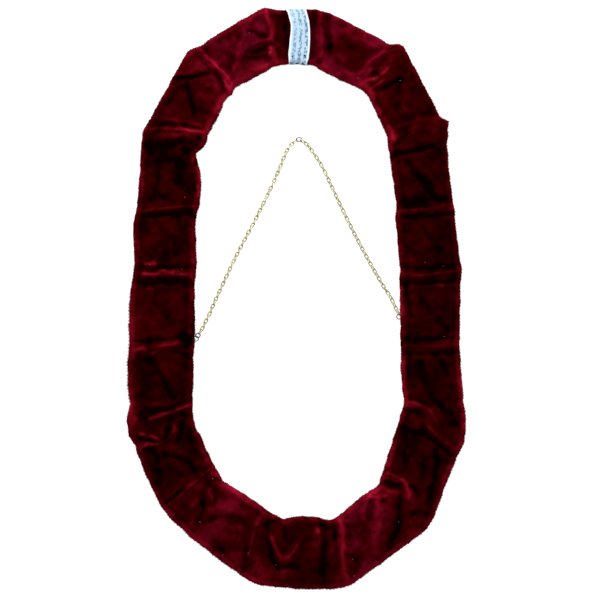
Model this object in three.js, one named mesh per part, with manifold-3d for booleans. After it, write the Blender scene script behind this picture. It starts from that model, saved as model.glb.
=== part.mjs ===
// A chain collar of velvet and gilt plates, lying face down with its velvet back up.
// Millimetres. +Z is up, +Y runs from the breast to the nape, +X is to the right seen from above.
// The origin is on the surface that the plates' rims rest on, under the middle of the collar.
import * as THREE from 'three';
import { mergeVertices } from 'three/addons/utils/BufferGeometryUtils.js';
import Module from 'manifold-3d';

const wasm = await Module();
wasm.setup();

// Driving sizes
const collarLength = 610;      // breast edge to nape edge, along Y
const collarWidth = 355;       // across the shoulders, along X
const clearance = 0.35;        // between pieces that touch on the real collar

// Velvet backing
const velvetMargin = 11;       // how far the velvet reaches past the plates at each side
const padThickness = 6;        // the padded velvet over the plates
const edgeThickness = 4.4;     // the rolled edge
const underRoll = 0.15;        // how far the rolled edge hangs below the flat underside

// Gilt plates
const plateWidth = 44;         // across the band
const plateSheet = 1.2;        // the metal's thickness
const rimDepth = 2.0;          // the rim stands this far out of the plate's face
const rimWidth = 2.4;
const plateCorner = 6;         // the cut corners, along each side
const bossInset = 10;          // from the plate's edge to the foot of the low boss
const bossSlope = 3;           // width of the boss's sloping side
const bossDepth = 1.3;
const jointGap = 10;           // between the ends of two plates in line

// Lugs and the links that join the plates
const lugHole = 1.15;          // radius
const lugWall = 1.3;
const lugReach = 1.7;          // from the plate's end to the middle of the hole
const lugSheet = 0.6;
const lugRoot = 3;             // how far the lug runs into the plate
const linkWire = 1.0;

// Thin chain and its rings
const chainLinkWidth = 4.4;    // outside, and so the chain's diameter
const ringWire = 1.1;
const apexRingLength = 6.8;    // outside, across the collar
const apexRingWidth = 5.2;     // outside, along the collar
const eyeDiameter = 6.4;       // outside
const endRingDiameter = 6.4;   // outside
const endRingTilt = 38;        // degrees from lying flat
const eyeBarWidth = 2;
const eyeReach = 0.8;          // from the velvet's inner edge to the eye's middle

// Label
const labelWidth = 20.5;       // along the band
const labelSheet = 0.8;
const labelPlace = 0.57;       // its middle, as a share of the way along the nape's panel

// Heights and spans that follow from these sizes
const plateDepth = rimDepth + plateSheet;
const velvetUnder = plateDepth + clearance;
const bandWidth = plateWidth + 2 * velvetMargin;
const halfSpan = { x: (collarWidth - bandWidth) / 2, y: (collarLength - bandWidth) / 2 };
const halfOpening = { x: collarWidth / 2 - bandWidth, y: collarLength / 2 - bandWidth };
const chainMiddle = chainLinkWidth / 2;
const outlineShift = { x: 0.5, y: 1.0 };   // brings the middle of the uneven outline to the origin

// Sections of the band, clockwise from the nape, two at each pleat.
// x and y place the section's middle, as shares of halfSpan. lean is the direction from the inner
// to the outer edge, in degrees from +X. margin is the velvet past the plate's side, in shares of
// velvetMargin. inner and outer are how far each edge bulges before the next section, and rise and
// middle are the height here and halfway to the next section, in shares of padThickness.
const sectionColumns = ['pleat', 'x', 'y', 'lean', 'margin', 'inner', 'outer', 'rise', 'middle'];
const sectionTable = [
  ['nape_right', 0.128, 1.005, 88, 0.71, 0, 0, 0.3, 0.1],
  ['nape_right', 0.186, 0.991, 84, 0.72, 0.06, 0.13, -0.2, 0.05],
  ['shoulder_right', 0.572, 0.892, 56, 0.54, 0, 0.29, 0.45, -0.15],
  ['shoulder_right', 0.653, 0.869, 54, 0.9, 0, 0, 0.2, 0],
  ['corner_right', 0.848, 0.664, 17, 0.72, 0, 0.48, 0.5, 0.1],
  ['corner_right', 0.879, 0.589, 10, 0.82, 0, -0.1, -0.35, 0.05],
  ['upper_right', 0.932, 0.356, -1, 0.74, 0, 0, 0.4, -0.1],
  ['upper_right', 0.931, 0.315, -2, 0.85, 0, -0.05, -0.15, 0],
  ['side_right', 0.972, 0.112, 1, 0.94, 0, 0.06, -0.2, 0.35],
  ['side_right', 0.967, 0.064, 0, 0.91, 0, 0, -0.2, 0],
  ['lower_right', 0.967, -0.164, 0, 0.82, 0, 0, -0.2, 0.25],
  ['lower_right', 0.97, -0.214, -2, 0.82, 0.13, 0, -0.2, 0.05],
  ['hip_right', 0.996, -0.405, -1, 0.84, 0, 0.18, 0.35, -0.1],
  ['hip_right', 0.975, -0.522, -15, 1.28, 0, -0.11, 0.2, 0],
  ['breast_right', 0.811, -0.76, -29, 1.08, -0.24, 0.38, 0.4, -0.3],
  ['breast_right', 0.678, -0.842, -51, 1.12, 0, 0.03, -0.15, 0.05],
  ['foot_right', 0.376, -0.964, -77, 1.31, -0.14, 0.19, 0.35, 0.1],
  ['foot_right', 0.253, -0.991, -84, 1.29, 0.32, 0.17, -0.2, 0.05],
  ['foot_left', -0.142, -0.984, -100, 1.26, -0.07, 0.13, 0.25, -0.2],
  ['foot_left', -0.277, -0.958, -102, 1.53, 0.08, 0.19, -0.1, 0.05],
  ['breast_left', -0.676, -0.805, -129, 1.0, 0, 0.1, 0.25, -0.2],
  ['breast_left', -0.786, -0.735, -139, 1.23, 0, 0.17, 0.2, 0],
  ['hip_left', -0.962, -0.534, -164, 1.03, -0.07, 0.48, 0.3, -0.2],
  ['hip_left', -0.987, -0.41, -179, 0.97, 0.04, 0.17, 0.25, 0],
  ['lower_left', -0.989, -0.208, -179, 1.1, 0, 0, 0.35, -0.25],
  ['lower_left', -0.98, -0.164, -180, 1.14, 0, 0.11, 0.1, 0],
  ['side_left', -0.976, 0.05, -181, 1.02, 0, 0, -0.2, 0.3],
  ['side_left', -0.96, 0.099, -182, 0.97, 0.07, -0.06, -0.2, 0],
  ['upper_left', -0.968, 0.276, -180, 0.98, 0, 0, -0.15, 0.1],
  ['upper_left', -0.949, 0.328, -181, 0.91, 0.48, -0.06, 0.35, 0],
  ['corner_left', -0.938, 0.566, -184, 0.6, 0.38, 0, -0.3, 0.45],
  ['corner_left', -0.889, 0.631, -183.5, 1.1, 0.05, 0, 0.4, 0.05],
  ['shoulder_left', -0.671, 0.848, -231, 0.93, 0, 0.14, 0.2, -0.15],
  ['shoulder_left', -0.576, 0.893, -230, 0.59, 0.05, 0.18, 0.35, 0.05],
  ['nape_left', -0.197, 1.006, -261, 0.8, 0, -0.05, 0.4, 0.2],
  ['nape_left', -0.146, 1.005, -263, 0.66, -0.08, -0.1, 0.1, 0.1],
];

// Half of the cross-section, from the flat underside round the rolled edge to the middle of the top.
// across runs from the middle (0) to the end of the flat underside (1) and on to the edge (2).
// level is where the point's height is taken from, and share is how far up it lies from there.
const halfProfile = [
  { across: 1.0, level: 'under', share: 0 },
  { across: 1.45, level: 'edge', share: 0 },
  { across: 1.85, level: 'edge', share: 0.16 },
  { across: 2.0, level: 'edge', share: 0.5 },
  { across: 1.85, level: 'edge', share: 0.86 },
  { across: 1.5, level: 'edge', share: 1.0 },
  { across: 1.0, level: 'top', share: 0.86 },
  { across: 0.5, level: 'top', share: 0.97 },
];
const profileMiddle = { across: 0, level: 'top', share: 1.0 };
const flatMargin = 0.25;       // share of the velvet margin that lies flat beside the plate
const panelSteps = [0, 0.12, 0.5, 0.88];
const pleatSteps = [0, 0.5];

// The legs of the thin chain, from the apex ring down, as [across, along] in shares of the
// opening's half width and half length. Their ends are worked out from the rings that they meet.
const chainRoute = {
  left: [[-0.041, 0.682], [-0.09, 0.654], [-0.123, 0.621], [-0.222, 0.511], [-0.39, 0.349],
    [-0.57, 0.19], [-0.763, -0.001], [-0.824, -0.067], [-0.863, -0.104], [-0.891, -0.131]],
  right: [[0.08, 0.681], [0.132, 0.654], [0.178, 0.623], [0.258, 0.559], [0.426, 0.392],
    [0.607, 0.224], [0.795, 0.067], [0.879, 0.006], [0.926, -0.04]],
};
const apexPlace = [0.018, 0.697];

// The eyes lie at the band's inner edge, a share of the way along the panel after a pleat
const eyes = {
  left: { pleat: 'lower_left', share: 0.03 },
  right: { pleat: 'side_right', share: 0.6 },
};

const radians = (degrees) => THREE.MathUtils.degToRad(degrees);
const lerp = THREE.MathUtils.lerp;

const velvet = new THREE.MeshStandardMaterial({ color: 0x4c0714, roughness: 0.95, metalness: 0 });
const gilt = new THREE.MeshStandardMaterial({ color: 0xc49a45, roughness: 0.35, metalness: 1 });
const gold = new THREE.MeshStandardMaterial({ color: 0xd2a24a, roughness: 0.25, metalness: 1 });
const woven = new THREE.MeshStandardMaterial({ color: 0xdfe4ee, roughness: 0.8, metalness: 0 });

const collar = new THREE.Group();
collar.position.set(outlineShift.x, outlineShift.y, 0);

function addMesh(name, geometry, material, parent = collar) {
  const mesh = new THREE.Mesh(geometry, material);
  mesh.name = name;
  parent.add(mesh);
  return mesh;
}

// Joins rings of equally many points into one closed surface. A closed row of rings makes a loop;
// an open one is closed by flat ends.
function loftRings(rings, closed = false) {
  const count = rings[0].length;
  const positions = rings.flat().flatMap((point) => point.toArray());
  const faces = [];
  const spans = closed ? rings.length : rings.length - 1;
  for (let ring = 0; ring < spans; ring++) {
    const next = (ring + 1) % rings.length;
    for (let side = 0; side < count; side++) {
      const after = (side + 1) % count;
      const [a, b] = [ring * count + side, ring * count + after];
      const [c, d] = [next * count + after, next * count + side];
      faces.push(a, b, c, a, c, d);
    }
  }
  if (!closed) {
    const last = (rings.length - 1) * count;
    for (let side = 0; side < count / 2 - 1; side++) {
      const [a, b, c, d] = [side, side + 1, count - 2 - side, count - 1 - side];
      faces.push(a, d, c, a, c, b);
      faces.push(last + a, last + b, last + c, last + a, last + c, last + d);
    }
  }
  const geometry = new THREE.BufferGeometry();
  geometry.setAttribute('position', new THREE.Float32BufferAttribute(positions, 3));
  geometry.setIndex(faces);
  return geometry;
}

function toSolid(geometry) {
  const bare = geometry.clone();
  bare.deleteAttribute('normal');
  bare.deleteAttribute('uv');
  const merged = mergeVertices(bare, 1e-4);
  return new wasm.Manifold(new wasm.Mesh({
    numProp: 3,
    vertProperties: new Float32Array(merged.attributes.position.array),
    triVerts: new Uint32Array(merged.index.array),
  }));
}

function toGeometry(solid) {
  const mesh = solid.getMesh();
  const geometry = new THREE.BufferGeometry();
  geometry.setAttribute('position', new THREE.BufferAttribute(mesh.vertProperties, 3));
  geometry.setIndex(new THREE.BufferAttribute(mesh.triVerts, 1));
  return geometry;
}

// A torus pulled apart at its middle into an oval of the given outside length (along X) and width.
function ovalRing(length, width, wire, segments, sides) {
  const geometry = new THREE.TorusGeometry((width - wire) / 2, wire / 2, sides, segments);
  const stretch = (length - width) / 2;
  const points = geometry.attributes.position;
  for (let index = 0; index < points.count; index++) {
    points.setX(index, points.getX(index) + Math.sign(points.getX(index)) * stretch);
  }
  return geometry;
}

// The band's sections, worked out from the table
const sections = sectionTable.map((values) => {
  const row = Object.fromEntries(values.map((value, column) => [sectionColumns[column], value]));
  const middle = new THREE.Vector2(row.x * halfSpan.x, row.y * halfSpan.y);
  const outward = new THREE.Vector2(Math.cos(radians(row.lean)), Math.sin(radians(row.lean)));
  const reach = plateWidth / 2 + row.margin * velvetMargin;
  return {
    ...row,
    middle,
    outward,
    between: row.middle,
    innerPoint: middle.clone().addScaledVector(outward, -reach),
    outerPoint: middle.clone().addScaledVector(outward, reach),
  };
});

// The band at a share of the way from one section to the next: its two edge points and its height.
function bandAt(index, share) {
  const here = sections[index];
  const next = sections[(index + 1) % sections.length];
  const inner = here.innerPoint.clone().lerp(next.innerPoint, share);
  const outer = here.outerPoint.clone().lerp(next.outerPoint, share);
  const outward = outer.clone().sub(inner).normalize();
  const bulge = 4 * share * (1 - share) * velvetMargin;
  inner.addScaledVector(outward, -here.inner * bulge);
  outer.addScaledVector(outward, here.outer * bulge);
  const [from, to] = share < 0.5 ? [here.rise, here.between] : [next.rise, here.between];
  const away = Math.min(share, 1 - share) / 0.5;
  const isPanel = index % 2 === 1;
  const settle = isPanel ? Math.min(1, away * 4) : away;
  return { inner, outer, outward, rise: lerp(from, to, settle) };
}

// A point of the cross-section: side is -1 towards the inner edge and 1 towards the outer one.
function profilePoint(band, point, side) {
  const halfWidth = band.inner.distanceTo(band.outer) / 2;
  const middle = band.inner.clone().add(band.outer).multiplyScalar(0.5);
  const flat = plateWidth / 2 + flatMargin * (halfWidth - plateWidth / 2);
  const across = point.across <= 1 ? point.across * flat : lerp(flat, halfWidth, point.across - 1);
  const top = padThickness * (1 + band.rise);
  const heights = {
    under: velvetUnder,
    edge: velvetUnder - underRoll + point.share * (edgeThickness + 0.5 * padThickness * band.rise),
    top: velvetUnder + point.share * top,
  };
  const place = middle.addScaledVector(band.outward, side * across);
  return new THREE.Vector3(place.x, place.y, heights[point.level]);
}

function crossSection(band) {
  const outerSide = halfProfile.map((point) => profilePoint(band, point, 1));
  const innerSide = halfProfile.map((point) => profilePoint(band, point, -1)).reverse();
  return [...outerSide, profilePoint(band, profileMiddle, 1), ...innerSide];
}

function velvetBand() {
  const rings = sections.flatMap((section, index) => {
    const steps = index % 2 === 1 ? panelSteps : pleatSteps;
    return steps.map((share) => crossSection(bandAt(index, share)));
  });
  return loftRings(rings, true);
}

// The middle of the band at each pleat, and the panel that follows it
const pleats = sections.filter((section, index) => index % 2 === 0).map((section, index) => {
  const partner = sections[2 * index + 1];
  return {
    name: section.pleat,
    middle: section.middle.clone().lerp(partner.middle, 0.5),
    outward: section.outward.clone().add(partner.outward).normalize(),
  };
});

// How far a plate stays back from the pleat's line, so that two plates at a bend stay apart
function setBack(direction, pleat) {
  const slope = Math.abs(direction.dot(pleat.outward)) / Math.abs(direction.cross(pleat.outward));
  const atSide = slope * plateWidth / 2 - plateCorner;
  const atCorner = slope * (plateWidth / 2 - plateCorner);
  return jointGap / 2 + Math.max(atSide, atCorner, 0);
}

const panels = pleats.map((pleat, index) => {
  const next = pleats[(index + 1) % pleats.length];
  const along = next.middle.clone().sub(pleat.middle);
  const direction = along.clone().normalize();
  const start = pleat.middle.clone().addScaledVector(direction, setBack(direction, pleat));
  const end = next.middle.clone().addScaledVector(direction, -setBack(direction, next));
  return { name: pleat.name, direction, start, end, length: start.distanceTo(end) };
});

// The plate's outline, inset by a distance, at a height
function plateRing(length, inset, height) {
  const [halfLength, halfWidth] = [length / 2 - inset, plateWidth / 2 - inset];
  const corner = plateCorner * (1 - 2 * inset / plateWidth);
  const quarter = [[halfLength, halfWidth - corner], [halfLength - corner, halfWidth]];
  const corners = [
    ...quarter,
    ...quarter.map(([x, y]) => [-x, y]).reverse(),
    ...quarter.map(([x, y]) => [-x, -y]),
    ...quarter.map(([x, y]) => [x, -y]).reverse(),
  ];
  return corners.map(([x, y]) => new THREE.Vector3(x, y, height));
}

function plateBody(length) {
  const bossFoot = Math.min(bossInset, length / 4);
  return loftRings([
    plateRing(length, 0, plateDepth),
    plateRing(length, 0, 0),
    plateRing(length, rimWidth, 0),
    plateRing(length, rimWidth, rimDepth),
    plateRing(length, bossFoot, rimDepth),
    plateRing(length, bossFoot + bossSlope, rimDepth - bossDepth),
  ].reverse());
}

function lug(reach) {
  const outline = new THREE.Shape();
  const radius = lugHole + lugWall;
  outline.moveTo(-reach - lugRoot, -radius);
  outline.lineTo(0, -radius);
  outline.absarc(0, 0, radius, -Math.PI / 2, Math.PI / 2, false);
  outline.lineTo(-reach - lugRoot, radius);
  const hole = new THREE.Path();
  hole.absarc(0, 0, lugHole, 0, 2 * Math.PI, true);
  outline.holes.push(hole);
  const geometry = new THREE.ExtrudeGeometry(outline, {
    depth: lugSheet, bevelEnabled: false, curveSegments: 4,
  });
  return geometry.translate(0, 0, plateDepth / 2 - lugSheet / 2);
}

// A fixed eye for the thin chain, with a bar that runs back to the nearest stretch of the plate's
// straight side. Both are in the plate's own axes, with the eye at the given place.
function fixedEye(place, plateLength) {
  const ring = ovalRing(eyeDiameter, eyeDiameter, ringWire, 12, 6);
  ring.translate(place.x, place.y, chainMiddle);
  const straight = plateLength / 2 - plateCorner - eyeBarWidth;
  const root = new THREE.Vector2(
    THREE.MathUtils.clamp(place.x, -straight, straight),
    Math.sign(place.y) * (plateWidth - rimWidth) / 2);
  const along = place.clone().sub(root);
  const barLength = along.length() - (eyeDiameter - ringWire) / 2;
  const bar = new THREE.BoxGeometry(barLength, eyeBarWidth, ringWire);
  bar.translate(barLength / 2, 0, 0).rotateZ(along.angle()).translate(root.x, root.y, chainMiddle);
  return toSolid(ring).add(toSolid(bar));
}

function eyePlace(eye) {
  const index = sections.findLastIndex((section) => section.pleat === eye.pleat);
  const band = bandAt(index, eye.share);
  return band.inner.addScaledVector(band.outward, -eyeReach);
}

function plate(panel, eye) {
  let solid = toSolid(plateBody(panel.length));
  const lugPlace = panel.length / 2 + lugReach;
  const lugAhead = lug(lugReach).translate(lugPlace, 0, 0);
  const lugBehind = lug(lugReach).rotateZ(Math.PI).translate(-lugPlace, 0, 0);
  solid = solid.add(toSolid(lugAhead)).add(toSolid(lugBehind));
  if (eye) {
    const middle = panel.start.clone().lerp(panel.end, 0.5);
    const place = eyePlace(eye).sub(middle).rotateAround(
      new THREE.Vector2(), -panel.direction.angle());
    solid = solid.add(fixedEye(place, panel.length));
  }
  return toGeometry(solid);
}

function addPlates() {
  const eyeOf = Object.fromEntries(Object.values(eyes).map((eye) => [eye.pleat, eye]));
  panels.forEach((panel, index) => {
    const number = String(index + 1).padStart(2, '0');
    const mesh = addMesh(`plate_${number}`, plate(panel, eyeOf[panel.name]), gilt);
    const middle = panel.start.clone().lerp(panel.end, 0.5);
    mesh.position.set(middle.x, middle.y, 0);
    mesh.rotation.z = panel.direction.angle();
  });
}

// Each link stands on edge through the holes of two lugs
function addLinks() {
  panels.forEach((panel, index) => {
    const before = panels[(index + panels.length - 1) % panels.length];
    const from = before.end.clone().addScaledVector(before.direction, lugReach);
    const to = panel.start.clone().addScaledVector(panel.direction, -lugReach);
    const length = from.distanceTo(to) + linkWire;
    const geometry = ovalRing(length, plateDepth, linkWire, 10, 5).rotateX(Math.PI / 2);
    const mesh = addMesh(`link_${String(index + 1).padStart(2, '0')}`, geometry, gilt);
    const middle = from.clone().lerp(to, 0.5);
    mesh.position.set(middle.x, middle.y, plateDepth / 2);
    mesh.rotation.z = to.clone().sub(from).angle();
  });
}

function inOpening([across, along]) {
  return new THREE.Vector2(across * halfOpening.x, along * halfOpening.y);
}

// A point at a distance from a ring's middle, on the way to another point
function towards(middle, other, distance) {
  return middle.clone().add(other.clone().sub(middle).setLength(distance));
}

// Where the left leg's end ring lies: its wire passes just inside the eye's
function endRingPlace() {
  const eye = eyePlace(eyes.left);
  const chainEnd = inOpening(chainRoute.left.at(-1));
  const wireToWire = (eyeDiameter + endRingDiameter) / 2 - 2 * ringWire - clearance;
  return { middle: towards(eye, chainEnd, wireToWire), heading: chainEnd.sub(eye).angle() };
}

// Each leg of the thin chain is a plain round strand of the links' outer diameter
function addChain(name, chosen, endRing, endDiameter) {
  const route = chosen.map(inOpening);
  const apex = inOpening(apexPlace);
  route.unshift(towards(apex, route[0], apexRingLength / 2 + clearance));
  route.push(towards(endRing, route.at(-1), endDiameter / 2 + clearance));
  const points = route.map((point) => new THREE.Vector3(point.x, point.y, chainMiddle));
  const path = new THREE.CatmullRomCurve3(points, false, 'centripetal');
  const section = new THREE.Shape();
  const sides = 8;
  for (let side = 0; side < sides; side++) {
    const angle = 2 * Math.PI * (side + 0.5) / sides;
    const corner = [Math.cos(angle) * chainMiddle, Math.sin(angle) * chainMiddle];
    if (side === 0) section.moveTo(...corner);
    else section.lineTo(...corner);
  }
  section.closePath();
  const steps = Math.round(path.getLength() / (2.5 * chainLinkWidth));
  addMesh(name, new THREE.ExtrudeGeometry(section, { steps, extrudePath: path }), gold);
}

function addRings() {
  const apex = addMesh('apex_ring', ovalRing(apexRingLength, apexRingWidth, ringWire, 12, 6), gold);
  const place = inOpening(apexPlace);
  apex.position.set(place.x, place.y, chainMiddle);

  const { middle, heading } = endRingPlace();
  const ring = ovalRing(endRingDiameter, endRingDiameter, ringWire, 12, 6);
  ring.rotateX(radians(endRingTilt));
  const mesh = addMesh('end_ring_left', ring, gold);
  mesh.position.set(middle.x, middle.y, chainMiddle);
  mesh.rotation.z = heading;
}

// The label lies over the velvet from one underside to the other, across the nape
function labelStrip() {
  const nape = sections.length - 1;
  const first = bandAt(nape, 0);
  const last = bandAt(nape, 1);
  const middleOf = (band) => band.inner.clone().add(band.outer).multiplyScalar(0.5);
  const napeLength = middleOf(first).distanceTo(middleOf(last));
  const half = labelWidth / 2 / napeLength;
  return [labelPlace - half, 0.5, labelPlace + half].map((share) => {
    const band = bandAt(nape, share);
    const wrap = crossSection(band).slice(1, -1);
    const heading = new THREE.Vector3(band.outward.y, -band.outward.x, 0);
    const normals = wrap.map((point, index) => {
      const before = wrap[Math.max(index - 1, 0)];
      const after = wrap[Math.min(index + 1, wrap.length - 1)];
      return after.clone().sub(before).cross(heading).normalize();
    });
    const atDistance = (distance) => wrap.map(
      (point, index) => point.clone().addScaledVector(normals[index], distance));
    return [...atDistance(clearance + labelSheet), ...atDistance(clearance).reverse()];
  });
}

addMesh('velvet_band', velvetBand(), velvet);
addPlates();
addLinks();
addChain('chain_left', chainRoute.left, endRingPlace().middle, endRingDiameter);
addChain('chain_right', chainRoute.right, eyePlace(eyes.right), eyeDiameter);
addRings();
addMesh('label', loftRings(labelStrip()), woven);

export default collar;
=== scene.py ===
# %% [markdown]
# The collar lies face down on a pale table, seen from straight above. Its gilt plates are under
# the velvet, and a thin chain crosses the opening. The solids give its body and its sizes, and the
# cells below dress them: velvet skin, woven label, chain, rings, plates and stitches.

# %% Load the frame
import math
import bmesh
import bpy
import numpy as np
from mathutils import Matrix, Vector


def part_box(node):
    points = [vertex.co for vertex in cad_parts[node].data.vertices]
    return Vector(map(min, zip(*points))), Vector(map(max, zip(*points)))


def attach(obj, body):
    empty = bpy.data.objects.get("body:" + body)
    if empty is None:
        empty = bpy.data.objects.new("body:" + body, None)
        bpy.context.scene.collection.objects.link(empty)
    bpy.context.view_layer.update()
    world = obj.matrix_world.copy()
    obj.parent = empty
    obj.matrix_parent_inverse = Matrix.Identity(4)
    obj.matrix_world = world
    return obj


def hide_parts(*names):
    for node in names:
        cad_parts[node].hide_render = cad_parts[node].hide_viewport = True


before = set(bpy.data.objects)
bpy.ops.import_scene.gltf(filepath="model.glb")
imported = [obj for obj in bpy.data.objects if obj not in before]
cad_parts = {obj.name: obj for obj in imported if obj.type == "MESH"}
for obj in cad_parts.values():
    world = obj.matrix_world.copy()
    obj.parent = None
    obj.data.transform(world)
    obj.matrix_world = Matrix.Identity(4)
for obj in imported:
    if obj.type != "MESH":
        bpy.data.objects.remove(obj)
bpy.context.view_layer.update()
MM = 0.001

# %% [markdown]
# The picture frame is 600 by 600, and one step in it is 1.05 mm on the table. Folds and stitches
# are placed in that frame, because that is how they were read, and one function lays them out in
# metres. The camera is a long lens straight above, so the rolled edges show as little as they do
# from a copy stand. It is set back so far that the picture frame has its true size a little above
# the table, at half the band's height.

# %% The picture frame and the camera
STEP = 1.05 * MM
FRAME_SIZE = 600
FRAME_CENTRE = (300, 300.5)
# the middle of the collar in the picture frame, and how far it lies from the origin of the solids
COLLAR_CENTRE = np.array([297.05, 298.35])
OUTLINE_SHIFT = np.array([0.5, 1.0]) * MM


def on_table(places):
    """Places in the frame (right, down) as metres on the table (+X, +Y): steps from the middle."""
    return (np.asarray(places, float) - COLLAR_CENTRE) * [STEP, -STEP] + OUTLINE_SHIFT


LENS, SENSOR = 85.0, 36.0
HALF_HEIGHT = 6 * MM
view_width = FRAME_SIZE * STEP
camera_data = bpy.data.cameras.new("copy_stand")
camera_data.lens = LENS
camera_data.sensor_width = SENSOR
camera = bpy.data.objects.new("copy_stand", camera_data)
bpy.context.scene.collection.objects.link(camera)
camera.location = (*on_table(FRAME_CENTRE), view_width * LENS / SENSOR + HALF_HEIGHT)
bpy.context.scene.camera = camera
print("camera height", round(camera.location.z, 3))

# %% [markdown]
# Every new piece is a grid of points worked out with numpy. One helper joins the grid's rows and
# columns into quads, and closes it round either way, so that each skin is one closed surface. Two
# plain curves are used all through: a smooth step from one level to another, and a bell. Small
# parts that repeat, such as links and stitches, are one grid copied many times.

# %% Mesh helpers


def grid_faces(rows, columns, wrap_rows, wrap_columns):
    """Quads between neighbours of a rows x columns grid: point (i, j) is number i times columns + j."""
    i = np.arange(rows if wrap_rows else rows - 1)[:, None]
    j = np.arange(columns if wrap_columns else columns - 1)[None, :]
    after_i, after_j = (i + 1) % rows, (j + 1) % columns
    corners = [i * columns + j, after_i * columns + j, after_i * columns + after_j, i * columns + after_j]
    return np.stack(np.broadcast_arrays(*corners), -1).reshape(-1, 4)


def new_piece(name, points, faces, material):
    """A smooth mesh object from points in metres and quads, riding on the one body."""
    points, faces = np.asarray(points, float).reshape(-1, 3), np.asarray(faces, int)
    mesh = bpy.data.meshes.new(name)
    mesh.vertices.add(len(points))
    mesh.vertices.foreach_set("co", points.ravel())
    mesh.loops.add(faces.size)
    mesh.loops.foreach_set("vertex_index", faces.ravel())
    mesh.polygons.add(len(faces))
    mesh.polygons.foreach_set("loop_start", np.arange(len(faces)) * faces.shape[1])
    mesh.update(calc_edges=True)
    mesh.validate()
    mesh.polygons.foreach_set("use_smooth", np.full(len(mesh.polygons), True))
    mesh.materials.append(material)
    piece = bpy.data.objects.new(name, mesh)
    bpy.context.scene.collection.objects.link(piece)
    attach(piece, "root")
    print(name, len(points), "points", len(faces), "faces")
    return piece


def add_values(piece, name, values):
    """Stores one number for each point, for a material to read."""
    layer = piece.data.attributes.new(name, "FLOAT", "POINT")
    layer.data.foreach_set("value", np.asarray(values, np.float32).ravel())


def smoothstep(low, high, x):
    """From 0 at low to 1 at high: three times the share squared, less twice the share cubed."""
    t = np.clip((x - low) / (high - low), 0, 1)
    return t * t * (3 - 2 * t)


def distance_run(points):
    """The distance run along a line of points, at each of them: the summed steps before it."""
    return np.concatenate([[0], np.cumsum(np.linalg.norm(np.diff(points, axis=0), axis=1))])


def bell(distance, width):
    """A bell that is 1 at no distance: e to the power of minus the squared share of the width."""
    return np.exp(-((distance / width) ** 2))


def copied_faces(one, points_each, copies):
    """The faces of one small mesh, repeated for each of its copies in a row of points."""
    return (one[None] + (np.arange(copies) * points_each)[:, None, None]).reshape(-1, one.shape[1])


# %% [markdown]
# Materials are small trees of nodes. Each helper below adds one kind of node, links what it is
# given and returns the socket that holds its result, so a finish reads like a formula.

# %% Node helpers
NOISE_ROUGHNESS = 0.55


def new_group(name, inputs, outputs):
    """An empty node group with named sockets, and its two end nodes."""
    group = bpy.data.node_groups.new(name, "ShaderNodeTree")
    for label, kind, value in inputs:
        socket = group.interface.new_socket(label, in_out="INPUT", socket_type=kind)
        if value is not None:
            socket.default_value = value
    for label, kind in outputs:
        group.interface.new_socket(label, in_out="OUTPUT", socket_type=kind)
    return group, group.nodes.new("NodeGroupInput"), group.nodes.new("NodeGroupOutput")


def math_node(tree, operation, first, second=None):
    """One step of arithmetic on numbers or sockets."""
    node = tree.nodes.new("ShaderNodeMath")
    node.operation = operation
    for socket, value in zip(node.inputs, (first, second)):
        if isinstance(value, (int, float)):
            socket.default_value = value
        elif value is not None:
            tree.links.new(value, socket)
    return node.outputs[0]


def product(tree, *factors):
    """All the factors multiplied, from the first to the last."""
    result = factors[0]
    for factor in factors[1:]:
        result = math_node(tree, "MULTIPLY", result, factor)
    return result


def mix_colour(tree, factor, first, second):
    """The first colour at factor 0, the second at factor 1, and their blend between."""
    node = tree.nodes.new("ShaderNodeMix")
    node.data_type = "RGBA"
    for socket, value in zip((node.inputs[0], *node.inputs[6:8]), (factor, first, second)):
        if isinstance(value, bpy.types.NodeSocket):
            tree.links.new(value, socket)
        elif isinstance(value, (int, float)):
            socket.default_value = value
        else:
            socket.default_value = (*value, 1.0)
    return node.outputs[2]


def noise(tree, vector, scale, detail):
    """Cloudy noise from 0 to 1, with as many finer layers as the detail says."""
    node = tree.nodes.new("ShaderNodeTexNoise")
    node.inputs["Scale"].default_value = scale
    node.inputs["Detail"].default_value = detail
    node.inputs["Roughness"].default_value = NOISE_ROUGHNESS
    tree.links.new(vector, node.inputs["Vector"])
    return node.outputs["Fac"]


def ramp(tree, value, low, high):
    """The smooth step from low to high, as a node."""
    node = tree.nodes.new("ShaderNodeMapRange")
    node.interpolation_type = "SMOOTHSTEP"
    node.inputs["From Min"].default_value, node.inputs["From Max"].default_value = low, high
    tree.links.new(value, node.inputs["Value"])
    return node.outputs["Result"]


# %% [markdown]
# Two effects are shared by several finishes and so are node groups: a mottle, which drifts a
# colour in soft blotches as wear and handling do, and a grain, which gives a fine bump. The
# shader itself stays in each material, with its fixed values on its own sockets.

# %% Mottle, grain and a new material
MOTTLE_LIMITS = (0.36, 0.64)


def make_mottle_group():
    """Soft blotches as a mask from 0 to 1: two thirds broad noise and a third of finer noise."""
    group, given, result = new_group(
        "mottle", [("Vector", "NodeSocketVector", None), ("Size", "NodeSocketFloat", 0.02)],
        [("Mask", "NodeSocketFloat")])
    scaled = group.nodes.new("ShaderNodeVectorMath")
    scaled.operation = "DIVIDE"
    group.links.new(given.outputs["Vector"], scaled.inputs[0])
    group.links.new(given.outputs["Size"], scaled.inputs[1])
    broad = noise(group, scaled.outputs[0], 1.0, 2.0)
    fine = noise(group, scaled.outputs[0], 4.5, 3.0)
    both = math_node(group, "ADD", product(group, broad, 0.65), product(group, fine, 0.35))
    group.links.new(ramp(group, both, *MOTTLE_LIMITS), result.inputs["Mask"])
    return group


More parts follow.
